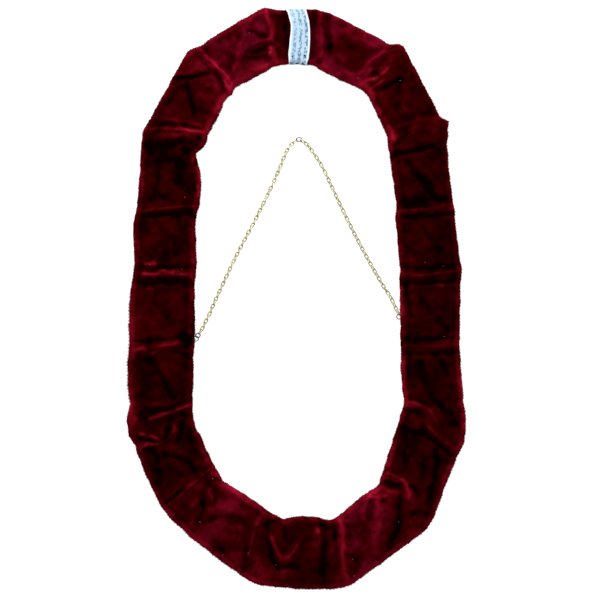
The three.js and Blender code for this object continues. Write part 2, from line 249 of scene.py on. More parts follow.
def make_grain_group():
    """A fine even grain as a bumped normal: pile, spun thread or the skin of plated metal."""
    group, given, result = new_group(
        "grain",
        [("Vector", "NodeSocketVector", None), ("Scale", "NodeSocketFloat", 1500.0),
         ("Height", "NodeSocketFloat", 0.0002), ("Strength", "NodeSocketFloat", 0.5)],
        [("Normal", "NodeSocketVector"), ("Mask", "NodeSocketFloat")])
    node = group.nodes.new("ShaderNodeTexNoise")
    node.inputs["Detail"].default_value = 2.0
    group.links.new(given.outputs["Vector"], node.inputs["Vector"])
    group.links.new(given.outputs["Scale"], node.inputs["Scale"])
    bump = group.nodes.new("ShaderNodeBump")
    group.links.new(given.outputs["Strength"], bump.inputs["Strength"])
    group.links.new(given.outputs["Height"], bump.inputs["Distance"])
    group.links.new(node.outputs["Fac"], bump.inputs["Height"])
    group.links.new(bump.outputs["Normal"], result.inputs["Normal"])
    group.links.new(node.outputs["Fac"], result.inputs["Mask"])
    return group


MOTTLE, GRAIN = make_mottle_group(), make_grain_group()


def use_group(tree, group, vector, **values):
    """A node that runs a group at the given places, with its values set by name."""
    node = tree.nodes.new("ShaderNodeGroup")
    node.node_tree = group
    tree.links.new(vector, node.inputs["Vector"])
    for label, value in values.items():
        node.inputs[label].default_value = value
    return node


def new_material(name, **fixed):
    """A material with one Principled shader, whose fixed values are set on its own sockets."""
    material = bpy.data.materials.new(name)
    material.use_nodes = True
    tree = material.node_tree
    shader = tree.nodes["Principled BSDF"]
    for label, value in fixed.items():
        shader.inputs[label.replace("_", " ")].default_value = value
    place = tree.nodes.new("ShaderNodeTexCoord").outputs["Object"]
    return material, tree, shader, place


def read_value(tree, name):
    """The number that add_values stored on each point under this name."""
    node = tree.nodes.new("ShaderNodeAttribute")
    node.attribute_name = name
    return node.outputs["Fac"]


# %% [markdown]
# Burgundy velvet is nearly black where its pile points at the eye and crimson where it leans away.
# Five numbers on each point steer that, and each of them is light or shade painted into the colour: how
# the pile of each panel leans, shown as a painted sheen; strokes where the pile was brushed, which along
# the folds are also painted shade in the valleys and painted highlights on the ridges; the crease,
# painted lighter on a ridge and darker in a valley; a fold's slope, painted lighter where it faces the
# nape lamp; and the rolled rim, painted with a sheen. They add up to one level, together with soft
# blotches and a painted sheen where the surface turns away from the eye.

# %% How light the velvet is
LOWEST_LEVEL, LOWEST_BLEND = 0.0, 0.14
GRAZING_SHEEN_BLEND = 0.42
PATCH_LOW, PATCH_RANGE = 0.6, 0.55
# how much each cause adds to the level: the painted highlight on ridges, painted shade in valleys,
# painted light on slopes, painted sheen at the rim and at grazing angles, and random tone from blotch,
# streak and grain
SHARES = {"ridge": 0.2, "valley": 0.2, "nap": 0.3, "edge": 0.2, "grazing_sheen": 0.24,
          "blotch": 0.24, "streak": 0.06, "grain": 0.12}


def add_up(tree, terms):
    """The sum of the terms, from the first to the last."""
    total = terms[0]
    for term in terms[1:]:
        total = math_node(tree, "ADD", total, term)
    return total


def velvet_level(tree, values, streak, blotch, grain):
    """How light the pile is painted: the painted sheen of the panels and the brushed strokes, with the
    strokes' painted fold shade, and a share of each other cause, smoothly kept above 0.
    """
    patchy = math_node(tree, "ADD", product(tree, streak, PATCH_RANGE), PATCH_LOW)
    ridge = math_node(tree, "MAXIMUM", values["crease"], 0.0)
    valley = math_node(tree, "MINIMUM", values["crease"], 0.0)
    # painted sheen: the colour lightens where the surface turns away from the eye
    grazing_sheen = tree.nodes.new("ShaderNodeLayerWeight")
    grazing_sheen.inputs["Blend"].default_value = GRAZING_SHEEN_BLEND
    terms = [
        values["lay_sheen"],
        values["brush_and_fold_shade"],
        # painted highlight on the fold ridges and painted shade in the fold valleys
        product(tree, ridge, product(tree, patchy, SHARES["ridge"])),
        product(tree, valley, SHARES["valley"]),
        # painted light on fold slopes that face the nape lamp
        product(tree, values["nap"], patchy, SHARES["nap"]),
        # painted sheen along the rolled rim, less a painted line of shade inside it
        product(tree, values["edge"], patchy, SHARES["edge"]),
        product(tree, grazing_sheen.outputs["Facing"], SHARES["grazing_sheen"]),
    ]
    for name, mask in (("blotch", blotch), ("streak", streak), ("grain", grain)):
        terms.append(product(tree, math_node(tree, "SUBTRACT", mask, 0.5), SHARES[name]))
    lowest = tree.nodes.new("ShaderNodeMath")
    lowest.operation = "SMOOTH_MAX"
    tree.links.new(add_up(tree, terms), lowest.inputs[0])
    lowest.inputs[1].default_value = LOWEST_LEVEL
    lowest.inputs[2].default_value = LOWEST_BLEND
    return lowest.outputs[0]


# %% [markdown]
# A colour ramp turns the level from near black to crimson, because dyed pile changes its colour
# as well as its brightness, which a plain darker mix wouldn't. Sheen adds the glow at grazing
# angles. In blotches of the lighter panels the colour also turns a little cooler, towards
# magenta, but not where the pile is brightest.

# %% Velvet finish
# level, and the colour of the pile there
VELVET_STOPS = [
    (0.0, (0.0006, 0.0, 0.00002)),
    (0.16, (0.0125, 0.00005, 0.0001)),
    (0.32, (0.025, 0.0001, 0.0003)),
    (0.5, (0.062, 0.0006, 0.0028)),
    (0.72, (0.12, 0.0016, 0.0066)),
    (1.0, (0.26, 0.004, 0.021)),
]
BLOTCH_SIZE, STREAK_SIZE = 34 * MM, 9 * MM
# the lays and the levels between which the cooler blotches come and go
COOLER_LAYS, COOLER_LEVELS = (0.32, 0.42), (0.5, 0.75)
HUE_SHIFT = 0.009


def make_velvet():
    """The ramp's colour at the pile's level, cooler where lay, blotch and a muted level meet."""
    material, tree, shader, place = new_material(
        "burgundy_velvet", Roughness=0.95, Specular_IOR_Level=0.0,
        Sheen_Weight=0.16, Sheen_Roughness=0.45, Sheen_Tint=(0.9, 0.006, 0.05, 1.0))
    values = {name: read_value(tree, name) for name in ("lay_sheen", "crease", "nap", "edge", "brush_and_fold_shade")}
    blotch = use_group(tree, MOTTLE, place, Size=BLOTCH_SIZE).outputs["Mask"]
    streak = use_group(tree, MOTTLE, place, Size=STREAK_SIZE).outputs["Mask"]
    grain = use_group(tree, GRAIN, place, Scale=1500.0, Height=0.0003, Strength=0.5)
    level = velvet_level(tree, values, streak, blotch, grain.outputs["Mask"])
    colours = tree.nodes.new("ShaderNodeValToRGB")
    for at, _ in VELVET_STOPS[1:-1]:
        colours.color_ramp.elements.new(at)
    for stop, (at, colour) in zip(colours.color_ramp.elements, VELVET_STOPS):
        stop.position, stop.color = at, (*colour, 1.0)
    tree.links.new(level, colours.inputs["Fac"])
    cooler = tree.nodes.new("ShaderNodeHueSaturation")
    leaning = ramp(tree, values["lay_sheen"], *COOLER_LAYS)
    muted = math_node(tree, "SUBTRACT", 1.0, ramp(tree, level, *COOLER_LEVELS))
    shift = product(tree, leaning, blotch, muted, HUE_SHIFT)
    tree.links.new(math_node(tree, "SUBTRACT", 0.5, shift), cooler.inputs["Hue"])
    tree.links.new(colours.outputs["Color"], cooler.inputs["Color"])
    tree.links.new(cooler.outputs["Color"], shader.inputs["Base Color"])
    tree.links.new(grain.outputs["Normal"], shader.inputs["Normal"])
    return material


velvet = make_velvet()
print("velvet with", len(SHARES) + 2, "causes of its level")

# %% [markdown]
# The band is a ring of eighteen stiff stretches. Each pleat between two stretches has a section on either
# side, and each section is a row of the table: where its middle is, as shares of half the collar's span,
# which way its outer side faces, in degrees, how wide its velvet margin is, how far its edges bulge
# before the next row, both as shares of the plain margin, and how high the padding stands. The same table
# shapes the solid, so skin and solid agree. The last column says how the pile of the stretch after the
# row leans, from 0 (black) to 1 (crimson), which the velvet shows as a painted sheen in its colour.

# %% The band's sections
COLLAR_WIDTH, COLLAR_LENGTH = 355 * MM, 610 * MM
PLATE_WIDTH, VELVET_MARGIN = 44 * MM, 11 * MM
# the padding's height, and the level of its flat underside
PAD, UNDERSIDE = 6 * MM, 3.55 * MM
BAND_WIDTH = PLATE_WIDTH + 2 * VELVET_MARGIN
HALF_SPAN = np.array([COLLAR_WIDTH - BAND_WIDTH, COLLAR_LENGTH - BAND_WIDTH]) / 2
HALF_OPENING = np.array([COLLAR_WIDTH / 2 - BAND_WIDTH, COLLAR_LENGTH / 2 - BAND_WIDTH])

# pleat, x, y, lean, margin, inner bulge, outer bulge, rise, rise halfway to the next, pile lay as painted
# sheen
SECTIONS = [
    ("nape_right", 0.128, 1.005, 88, 0.71, 0, 0, 0.3, 0.1, 0.4),
    ("nape_right", 0.186, 0.991, 84, 0.72, 0.06, 0.13, -0.2, 0.05, 0.4),
    ("shoulder_right", 0.572, 0.892, 56, 0.54, 0, 0.29, 0.45, -0.15, 0.28),
    ("shoulder_right", 0.653, 0.869, 54, 0.9, 0, 0, 0.2, 0, 0.2),
    ("corner_right", 0.848, 0.664, 17, 0.72, 0, 0.48, 0.5, 0.1, 0.22),
    ("corner_right", 0.879, 0.589, 10, 0.82, 0, -0.1, -0.35, 0.05, 0.15),
    ("upper_right", 0.932, 0.356, -1, 0.74, 0, 0, 0.4, -0.1, 0.18),
    ("upper_right", 0.931, 0.315, -2, 0.85, 0, -0.05, -0.15, 0, 0.2),
    ("side_right", 0.972, 0.112, 1, 0.94, 0, 0.06, -0.2, 0.35, 0.14),
    ("side_right", 0.967, 0.064, 0, 0.91, 0, 0, -0.2, 0, 0.2),
    ("lower_right", 0.967, -0.164, 0, 0.82, 0, 0, -0.2, 0.25, 0.14),
    ("lower_right", 0.97, -0.214, -2, 0.82, 0.13, 0, -0.2, 0.05, 0.2),
    ("hip_right", 0.996, -0.405, -1, 0.84, 0, 0.18, 0.35, -0.1, 0.24),
    ("hip_right", 0.975, -0.522, -15, 1.28, 0, -0.11, 0.2, 0, 0.18),
    ("breast_right", 0.811, -0.76, -29, 1.08, -0.24, 0.38, 0.4, -0.3, 0.3),
    ("breast_right", 0.678, -0.842, -51, 1.12, 0, 0.03, -0.15, 0.05, 0.41),
    ("foot_right", 0.376, -0.964, -77, 1.31, -0.14, 0.19, 0.35, 0.1, 0.34),
    ("foot_right", 0.253, -0.991, -84, 1.29, 0.32, 0.17, -0.2, 0.05, 0.24),
    ("foot_left", -0.142, -0.984, -100, 1.26, -0.07, 0.13, 0.25, -0.2, 0.3),
    ("foot_left", -0.277, -0.958, -102, 1.53, 0.08, 0.19, -0.1, 0.05, 0.36),
    ("breast_left", -0.676, -0.805, -129, 1.0, 0, 0.1, 0.25, -0.2, 0.31),
    ("breast_left", -0.786, -0.735, -139, 1.23, 0, 0.17, 0.2, 0, 0.17),
    ("hip_left", -0.962, -0.534, -164, 1.03, -0.07, 0.48, 0.3, -0.2, 0.21),
    ("hip_left", -0.987, -0.41, -179, 0.97, 0.04, 0.17, 0.25, 0, 0.16),
    ("lower_left", -0.989, -0.208, -179, 1.1, 0, 0, 0.35, -0.25, 0.15),
    ("lower_left", -0.98, -0.164, -180, 1.14, 0, 0.11, 0.1, 0, 0.19),
    ("side_left", -0.976, 0.05, -181, 1.02, 0, 0, -0.2, 0.3, 0.13),
    ("side_left", -0.96, 0.099, -182, 0.97, 0.07, -0.06, -0.2, 0, 0.16),
    ("upper_left", -0.968, 0.276, -180, 0.98, 0, 0, -0.15, 0.1, 0.12),
    ("upper_left", -0.949, 0.328, -181, 0.91, 0.48, -0.06, 0.35, 0, 0.11),
    ("corner_left", -0.938, 0.566, -184, 0.6, 0.38, 0, -0.3, 0.45, 0.15),
    ("corner_left", -0.889, 0.631, -183.5, 1.1, 0.05, 0, 0.4, 0.05, 0.28),
    ("shoulder_left", -0.671, 0.848, -231, 0.93, 0, 0.14, 0.2, -0.15, 0.36),
    ("shoulder_left", -0.576, 0.893, -230, 0.59, 0.05, 0.18, 0.35, 0.05, 0.4),
    ("nape_left", -0.197, 1.006, -261, 0.8, 0, -0.05, 0.4, 0.2, 0.4),
    ("nape_left", -0.146, 1.005, -263, 0.66, -0.08, -0.1, 0.1, 0.1, 0.36),
]
COLUMN_NAMES = ("x", "y", "lean", "margin", "inner", "outer", "rise", "middle", "lay_sheen")
columns = {
    name: np.array([line[k] for line in SECTIONS], float) for k, name in enumerate(COLUMN_NAMES, 1)}
section_middle = np.stack([columns["x"], columns["y"]], 1) * HALF_SPAN + OUTLINE_SHIFT
section_out = np.stack([np.cos(np.radians(columns["lean"])), np.sin(np.radians(columns["lean"]))], 1)
section_reach = (PLATE_WIDTH / 2 + columns["margin"] * VELVET_MARGIN)[:, None]
section_inner = section_middle - section_out * section_reach
section_outer = section_middle + section_out * section_reach
print(len(SECTIONS), "sections")

# %% [markdown]
# Between two rows the edges run straight with a shallow bow, and the height eases from one row to
# the next. Stations are spaced evenly along the band, so the skin's quads stay nearly square, and
# a short running mean rounds the corners as cloth does.

# %% Stations along the band
ALONG_STEP = 1.3 * MM


def spread_stations():
    """Row number plus share, evenly spaced along the middle line."""
    gaps = np.linalg.norm(np.roll(section_middle, -1, 0) - section_middle, axis=1)
    counts = np.maximum(np.rint(gaps / ALONG_STEP).astype(int), 3)
    return np.concatenate([row + np.arange(count) / count for row, count in enumerate(counts)])


def soften(values, reach=2):
    """Running mean over the closed row of stations: each weight is e to the power of minus half
    the squared offset over the reach."""
    offsets = np.arange(-3 * reach, 3 * reach + 1)
    weights = np.exp(-0.5 * (offsets / reach) ** 2)
    return sum(w * np.roll(values, k, axis=0) for w, k in zip(weights / weights.sum(), offsets))


stations = spread_stations()
row = stations.astype(int)
share = (stations - row)[:, None]
after = (row + 1) % len(SECTIONS)
is_stretch = (row % 2 == 1)[:, None]
edge_inner = section_inner[row] * (1 - share) + section_inner[after] * share
edge_outer = section_outer[row] * (1 - share) + section_outer[after] * share
outward = edge_outer - edge_inner
outward /= np.linalg.norm(outward, axis=1)[:, None]
bow = 4 * share * (1 - share) * VELVET_MARGIN
print(len(stations), "stations")

# %% [markdown]
# An edge rolled by hand is never quite straight. A few sines of uneven length give each edge its
# wobble, and a table of small bells gives the corners and dents that are this collar's own. The
# padding's height eases from each pleat to the middle of the next stretch.

# %% Rolled edges and height
edge_run = distance_run(edge_outer)
# waves round the whole band, and their height in mm
EDGE_WAVES = ((52, 0.42), (83, 0.36), (131, 0.26), (207, 0.2), (331, 0.14))


def wobble(seed):
    """Small unevenness of a rolled edge, in metres: half the sum of sines, each at a drawn phase."""
    draws = np.random.default_rng(seed)
    total = np.zeros(len(stations))
    for waves, height in EDGE_WAVES:
        phase = draws.uniform(0, 6.28)
        total += height * MM * np.sin(edge_run / edge_run[-1] * waves * 2 * np.pi + phase)
    return total[:, None] * 0.5


# side of the band (1 outer, -1 inner), place in the picture frame, bulge and reach in mm
EDGE_NUDGES = [
    (1, (445.5, 122.5), 3.0, 3.4), (1, (448.6, 131), -1.9, 3.6),
    (1, (131, 435), 1.1, 4.5), (1, (136, 446), -1.0, 4.0), (1, (190, 537), 1.6, 6.0),
    (1, (405, 541), 1.2, 3.0), (1, (336, 15), 1.6, 12.0), (1, (262, 11), 1.3, 18.0),
    (-1, (201, 437), 1.2, 8.0), (-1, (230, 93), 2.0, 3.4), (-1, (223.5, 99.5), -0.7, 2.0),
    (-1, (217, 114), 0.6, 8.0), (1, (299, 9), 0.9, 16.0), (-1, (299, 64), -1.0, 16.0),
    (-1, (357, 499), 0.8, 6.0),
]


def nudge(edge, side):
    """The edge with its small corners and dents: bells of displacement, faded by distance."""
    moved = edge.copy()
    for which, place, bulge, reach in EDGE_NUDGES:
        if which == side:
            distance = np.linalg.norm(edge - on_table(place), axis=1)
            moved += outward * side * (bulge * MM * bell(distance, reach * MM))[:, None]
    return moved


# in a long stretch the height settles this many times sooner than in a short pleat
STRETCH_EASE = 5
edge_inner = soften(edge_inner - outward * bow * columns["inner"][row][:, None], 1)
edge_outer = soften(edge_outer + outward * bow * columns["outer"][row][:, None], 1)
nearest = np.where(share < 0.5, columns["rise"][row][:, None], columns["rise"][after][:, None])
away = np.minimum(share, 1 - share) * 2
settle = smoothstep(0, 1, np.clip(away * np.where(is_stretch, STRETCH_EASE, 1), 0, 1))
rise = soften(nearest * (1 - settle) + columns["middle"][row][:, None] * settle)[:, 0]
# the lean of each stretch's pile, painted into the colour as sheen
lay_sheen = soften(columns["lay_sheen"][row], 3)
edge_inner = nudge(edge_inner + outward * wobble(3), -1)
edge_outer = nudge(edge_outer + outward * wobble(4), 1)
band_middle = (edge_inner + edge_outer) / 2
half_width = np.linalg.norm(edge_outer - edge_inner, axis=1) / 2
outward = (edge_outer - edge_inner) / (2 * half_width[:, None])
print("band", *np.round(2 * half_width[[half_width.argmin(), half_width.argmax()]] / MM, 1), "mm wide")

# %% [markdown]
# The folds are what makes this collar itself: at each pleat the cloth is tucked, so a ridge lies
# beside a dark valley, and long creases run into the stretches. Each row of the table is one fold:
# its height, its width on the left and on the right of its run, and the few places it runs
# through. A point's distance from the run gives its height, as a bell that fades out at both ends.

# %% Folds
# pleat or stretch, height in mm, width left and right in mm, places along its run
FOLDS = [
    ("nape_left ridge", 1.9, 2.2, 3.4, [(266, 9), (269, 20), (274, 32), (271, 45), (273, 56), (276, 64)]),
    ("nape_left valley", -0.7, 3.0, 2.4, [(275, 12), (278, 24), (279, 36), (277, 48), (281, 62)]),
    ("nape_left second", 0.6, 2.4, 2.4, [(247, 33), (242, 44), (239, 54), (236, 66), (232, 80)]),
    ("nape_left third", 1.0, 2.0, 2.0, [(250, 47), (258, 44), (266, 42), (272, 42)]),
    ("nape_left hollow", -1.3, 2.4, 2.6, [(246, 53), (256, 53), (265, 50), (271, 45)]),
    ("nape_left upper hollow", -1.0, 2.6, 2.6, [(246, 32), (254, 34), (262, 37), (271, 37)]),
    ("nape_left lower hollow", -0.9, 2.4, 2.4, [(244, 59), (255, 60), (265, 58), (271, 60)]),
    ("nape_right ridge", 1.7, 2.0, 3.0, [(321, 12), (321, 26), (323, 40), (322, 54), (319, 65)]),
    ("nape_right valley", -1.0, 2.4, 3.6, [(329, 16), (329, 34), (331, 50), (328, 68)]),
    ("label_right hollow", -0.9, 2.2, 2.2, [(313, 12), (314, 34), (313, 60)]),
    ("shoulder_right ridge", 1.1, 1.8, 2.8, [(391, 46), (384, 54), (375, 60), (366, 69), (357, 79)]),
    ("shoulder_right valley", -1.0, 2.0, 3.0, [(392, 56), (382, 66), (376, 74), (368, 79)]),
    ("shoulder_right second", 1.6, 1.7, 1.5, [(364, 83), (376, 80), (384, 74), (391, 66)]),
    ("shoulder_right slit", -1.2, 1.1, 1.1, [(368, 89), (376, 84), (382, 79)]),
    ("shoulder_right lip", 1.1, 1.1, 1.4, [(370, 92), (378, 86), (386, 80)]),
    ("shoulder_right hollow", -1.4, 2.2, 2.6, [(378, 93), (388, 87), (394, 82), (402, 78)]),
    ("corner_right ridge", 0.7, 2.4, 3.0,
     [(390, 135), (398, 129), (408, 125), (420, 122), (432, 121), (446, 120)]),
    ("corner_right valley", -2.4, 2.2, 3.4, [(391, 157), (403, 154), (412, 152), (424, 149), (437, 146)]),
    ("corner_right lip", 1.1, 1.8, 1.8, [(388, 127), (392, 134), (395, 141), (399, 146)]),
    ("upper_right crease", -1.0, 2.6, 2.6, [(404, 157), (414, 168), (425, 178), (436, 191)]),
    ("upper_right ridge", 2.1, 2.3, 2.4, [(396, 213), (408, 212), (424, 211), (440, 209), (454, 207)]),
    ("upper_right valley", -2.2, 1.6, 2.0, [(397, 219), (414, 218), (434, 216), (454, 214)]),
    ("upper_right hollow", -1.2, 2.4, 2.4, [(398, 204), (416, 203), (436, 200)]),
    ("side_right upper valley", -1.3, 1.8, 2.0, [(400, 267), (420, 269), (440, 267), (461, 265)]),
    ("side_right ridge", 1.8, 2.2, 2.4, [(400, 274), (418, 277), (438, 275), (461, 272)]),
    ("side_right valley", -1.8, 1.6, 2.2, [(400, 283), (420, 284), (440, 283), (460, 281)]),
    ("lower_right upper valley", -1.5, 2.0, 2.0, [(401, 339), (420, 341), (440, 340), (459, 338)]),
    ("lower_right ridge", 1.5, 2.2, 2.4, [(401, 347), (420, 348), (440, 347), (460, 346)]),
    ("lower_right valley", -1.7, 2.2, 2.6, [(401, 354), (420, 355), (440, 354), (460, 353)]),
    ("lower_right crease", -0.9, 2.4, 2.4, [(408, 358), (416, 372), (427, 384)]),
    ("hip_right ridge", 1.9, 1.6, 2.6,
     [(404, 402), (412, 403), (421, 406), (429, 411), (435, 419), (438, 428)]),
    ("hip_right valley", -2.0, 3.0, 2.6, [(404, 410), (413, 412), (421, 416), (428, 424)]),
    ("hip_right crisp", 1.7, 1.1, 2.4, [(423, 417), (426, 425), (434, 434), (444, 442), (458, 451)]),
    ("hip_right under", -1.7, 2.2, 2.6, [(420, 425), (428, 436), (438, 444), (452, 455)]),
    ("hip_right hollow", -1.0, 3.0, 3.0, [(440, 404), (446, 416), (452, 430)]),
    ("breast_right ridge", 2.0, 1.5, 2.0,
     [(380, 479), (386, 474), (393, 476), (401, 480), (407, 486), (408, 494)]),
    ("breast_right tuck", -1.8, 2.0, 2.2, [(381, 486), (389, 483), (397, 487), (402, 492)]),
    ("breast_right crisp", 1.3, 1.0, 1.5, [(403, 496), (404, 506), (402, 516)]),
    ("breast_right valley", -2.6, 3.2, 4.0, [(401, 496), (400, 512), (397, 530), (390, 546)]),
    ("breast_right roll", 1.5, 2.6, 3.0, [(372, 489), (368, 500), (364, 516), (370, 530)]),
    ("breast_right hollow", -1.1, 3.0, 3.0, [(384, 496), (380, 510), (378, 524), (382, 538)]),
    ("foot_right ridge", 2.2, 2.0, 2.6,
     [(337, 517), (342, 528), (344, 542), (344, 558), (346, 572), (351, 586)]),
    ("foot_right valley", -1.2, 3.0, 2.4, [(330, 521), (335, 534), (337, 552), (337, 572)]),
    ("foot_right crisp", 1.0, 1.1, 1.6, [(319, 527), (320, 540), (319, 556)]),
    ("foot_right hollow", -1.5, 4.0, 4.4, [(322, 522), (325, 545), (323, 576)]),
    ("foot_left crisp", 1.5, 1.0, 2.0, [(257, 527), (253, 541), (250, 556), (248, 572)]),
    ("foot_left ridge", 1.8, 1.6, 2.2, [(264, 511), (261, 518), (257, 528)]),
    ("foot_left valley", -1.8, 2.4, 2.8, [(267, 520), (268, 535), (271, 550), (276, 567)]),
    ("foot_left curl", 1.6, 1.7, 2.4,
     [(270, 531), (273, 542), (278, 552), (285, 558), (293, 553), (301, 540), (304, 530)]),
    ("foot_left bowl", -1.6, 3.2, 3.2, [(282, 528), (285, 538), (290, 545), (296, 534)]),
    ("foot_left lower", -1.2, 3.0, 3.0, [(270, 556), (280, 568), (294, 566)]),
    ("breast_left crisp", 1.6, 1.0, 2.2, [(216, 466), (204, 476), (190, 488), (176, 500), (166, 509)]),
    ("breast_left tuck", -1.4, 2.8, 2.8, [(206, 478), (204, 500), (203, 514), (194, 530)]),
    ("breast_left dark", -1.5, 1.9, 1.9, [(166, 505), (176, 496), (186, 488)]),
    ("breast_left swell", -1.1, 3.0, 3.0, [(204, 522), (220, 518), (235, 517), (248, 524)]),
    ("hip_left crisp", 1.6, 1.4, 2.0, [(192, 405), (182, 409), (172, 413), (160, 418), (148, 421)]),
    ("hip_left valley", -1.7, 2.4, 2.2, [(178, 406), (162, 411), (150, 411), (139, 416)]),
    ("hip_left fold", 1.5, 1.5, 1.8, [(134, 433), (143, 435), (150, 436), (157, 439), (166, 447)]),
    ("hip_left second", 1.5, 1.5, 1.8,
     [(138, 449), (148, 445), (157, 444), (166, 441), (173, 434), (176, 424)]),
    ("hip_left third", -1.7, 1.7, 2.0,
     [(138, 440), (148, 440), (156, 442), (165, 440), (169, 430), (170, 422)]),
    ("hip_left under", -1.2, 2.4, 2.6, [(147, 450), (155, 453), (159, 466)]),
    ("hip_left fourth", -1.7, 2.0, 2.4, [(184, 420), (182, 430), (179, 441), (172, 449)]),
    ("hip_left hollow", -1.1, 2.6, 2.8, [(163, 455), (178, 458), (190, 463), (197, 475)]),
    ("lower_left ridge", 1.3, 1.6, 2.0, [(131, 350), (146, 349), (160, 347), (176, 345), (194, 344)]),
    ("lower_left valley", -1.7, 2.0, 2.2, [(131, 342), (150, 342), (170, 340), (195, 338)]),
    ("lower_left crease", -1.0, 2.8, 2.8, [(150, 355), (157, 368), (165, 382), (175, 400)]),
    ("side_left upper valley", -1.5, 1.8, 2.0, [(136, 267), (152, 268), (174, 269), (197, 268)]),
    ("side_left ridge", 1.7, 1.4, 1.8, [(134, 274), (149, 275), (168, 276), (196, 275)]),
    ("side_left valley", -1.9, 2.2, 2.4, [(132, 283), (152, 283), (174, 283), (196, 282)]),
    ("upper_left ridge", 1.6, 1.6, 2.0, [(138, 213), (155, 211), (174, 209), (190, 208), (199, 208)]),
    ("upper_left valley", -2.2, 2.2, 2.6, [(140, 218), (156, 217), (176, 215), (197, 216)]),
    ("corner_left first", 1.2, 1.3, 1.8, [(160, 120), (170, 121), (186, 124), (205, 128)]),
    ("corner_left ridge", 1.6, 1.5, 2.0, [(146, 131), (160, 130), (180, 131), (205, 134)]),
    ("corner_left tuck", -1.3, 1.4, 1.6, [(158, 126), (176, 127), (200, 130)]),
    ("corner_left valley", -2.9, 2.8, 3.8, [(144, 143), (158, 146), (176, 144), (196, 144)]),
    ("shoulder_left crisp", 1.6, 1.0, 2.4, [(200, 49), (206, 56), (214, 65), (223, 74), (232, 85)]),
    ("shoulder_left under", -1.2, 2.2, 2.6, [(196, 54), (204, 64), (214, 75), (224, 88)]),
    ("shoulder_left dark", -1.7, 2.0, 2.4, [(173, 80), (190, 79), (202, 76), (212, 74)]),
    ("shoulder_left low", -1.1, 3.0, 3.0, [(187, 84), (189, 93), (193, 102), (194, 112)]),
]


RUN_SPACING = 1.5 * MM


def smooth_run(places, spacing, fewest):
    """Points along a Catmull-Rom curve: between b and c a cubic that leaves b along c less a and
    reaches c along d less b, each at half that length."""
    knots = np.vstack([2 * places[0] - places[1], places, 2 * places[-1] - places[-2]])
    pieces = []
    for a, b, c, d in zip(knots[:-3], knots[1:-2], knots[2:-1], knots[3:]):
        count = max(int(np.linalg.norm(c - b) / spacing), fewest)
        t = (np.arange(count) / count)[:, None]
        square = (2 * a - 5 * b + 4 * c - d) * t**2
        cube = (3 * b - a - 3 * c + d) * t**3
        pieces.append(0.5 * (2 * b + (c - a) * t + square + cube))
    return np.vstack([*pieces, knots[-2]])


def run_on_table(places, reach, through):
    """A run laid out on the table, and which of the places lie within reach of it."""
    run = smooth_run(on_table(through), RUN_SPACING, 2)
    low, high = run.min(0) - reach, run.max(0) + reach
    return run, np.flatnonzero(((places > low) & (places < high)).all(1))


def fold_heights(places):
    """The summed height of all folds, in metres: height times fade times a bell of the distance."""
    total = np.zeros(len(places))
    for _, height, left, right, through in FOLDS:
        run, near = run_on_table(places, 3.2 * max(left, right) * MM, through)
        gap = places[near][:, None, :] - run[None, :, :]
        distance = np.linalg.norm(gap, axis=2)
        closest = distance.argmin(1)
        heading = np.gradient(run, axis=0)[closest]
        offset = gap[np.arange(len(near)), closest]
        side = heading[:, 0] * offset[:, 1] - heading[:, 1] * offset[:, 0]
        width = np.where(side > 0, left, right) * MM
        along = closest / (len(run) - 1)
        fade = smoothstep(-0.04, 0.16, along) * smoothstep(-0.04, 0.16, 1 - along)
        total[near] += height * MM * fade * bell(distance.min(1), width)
    return total


print(len(FOLDS), "folds")
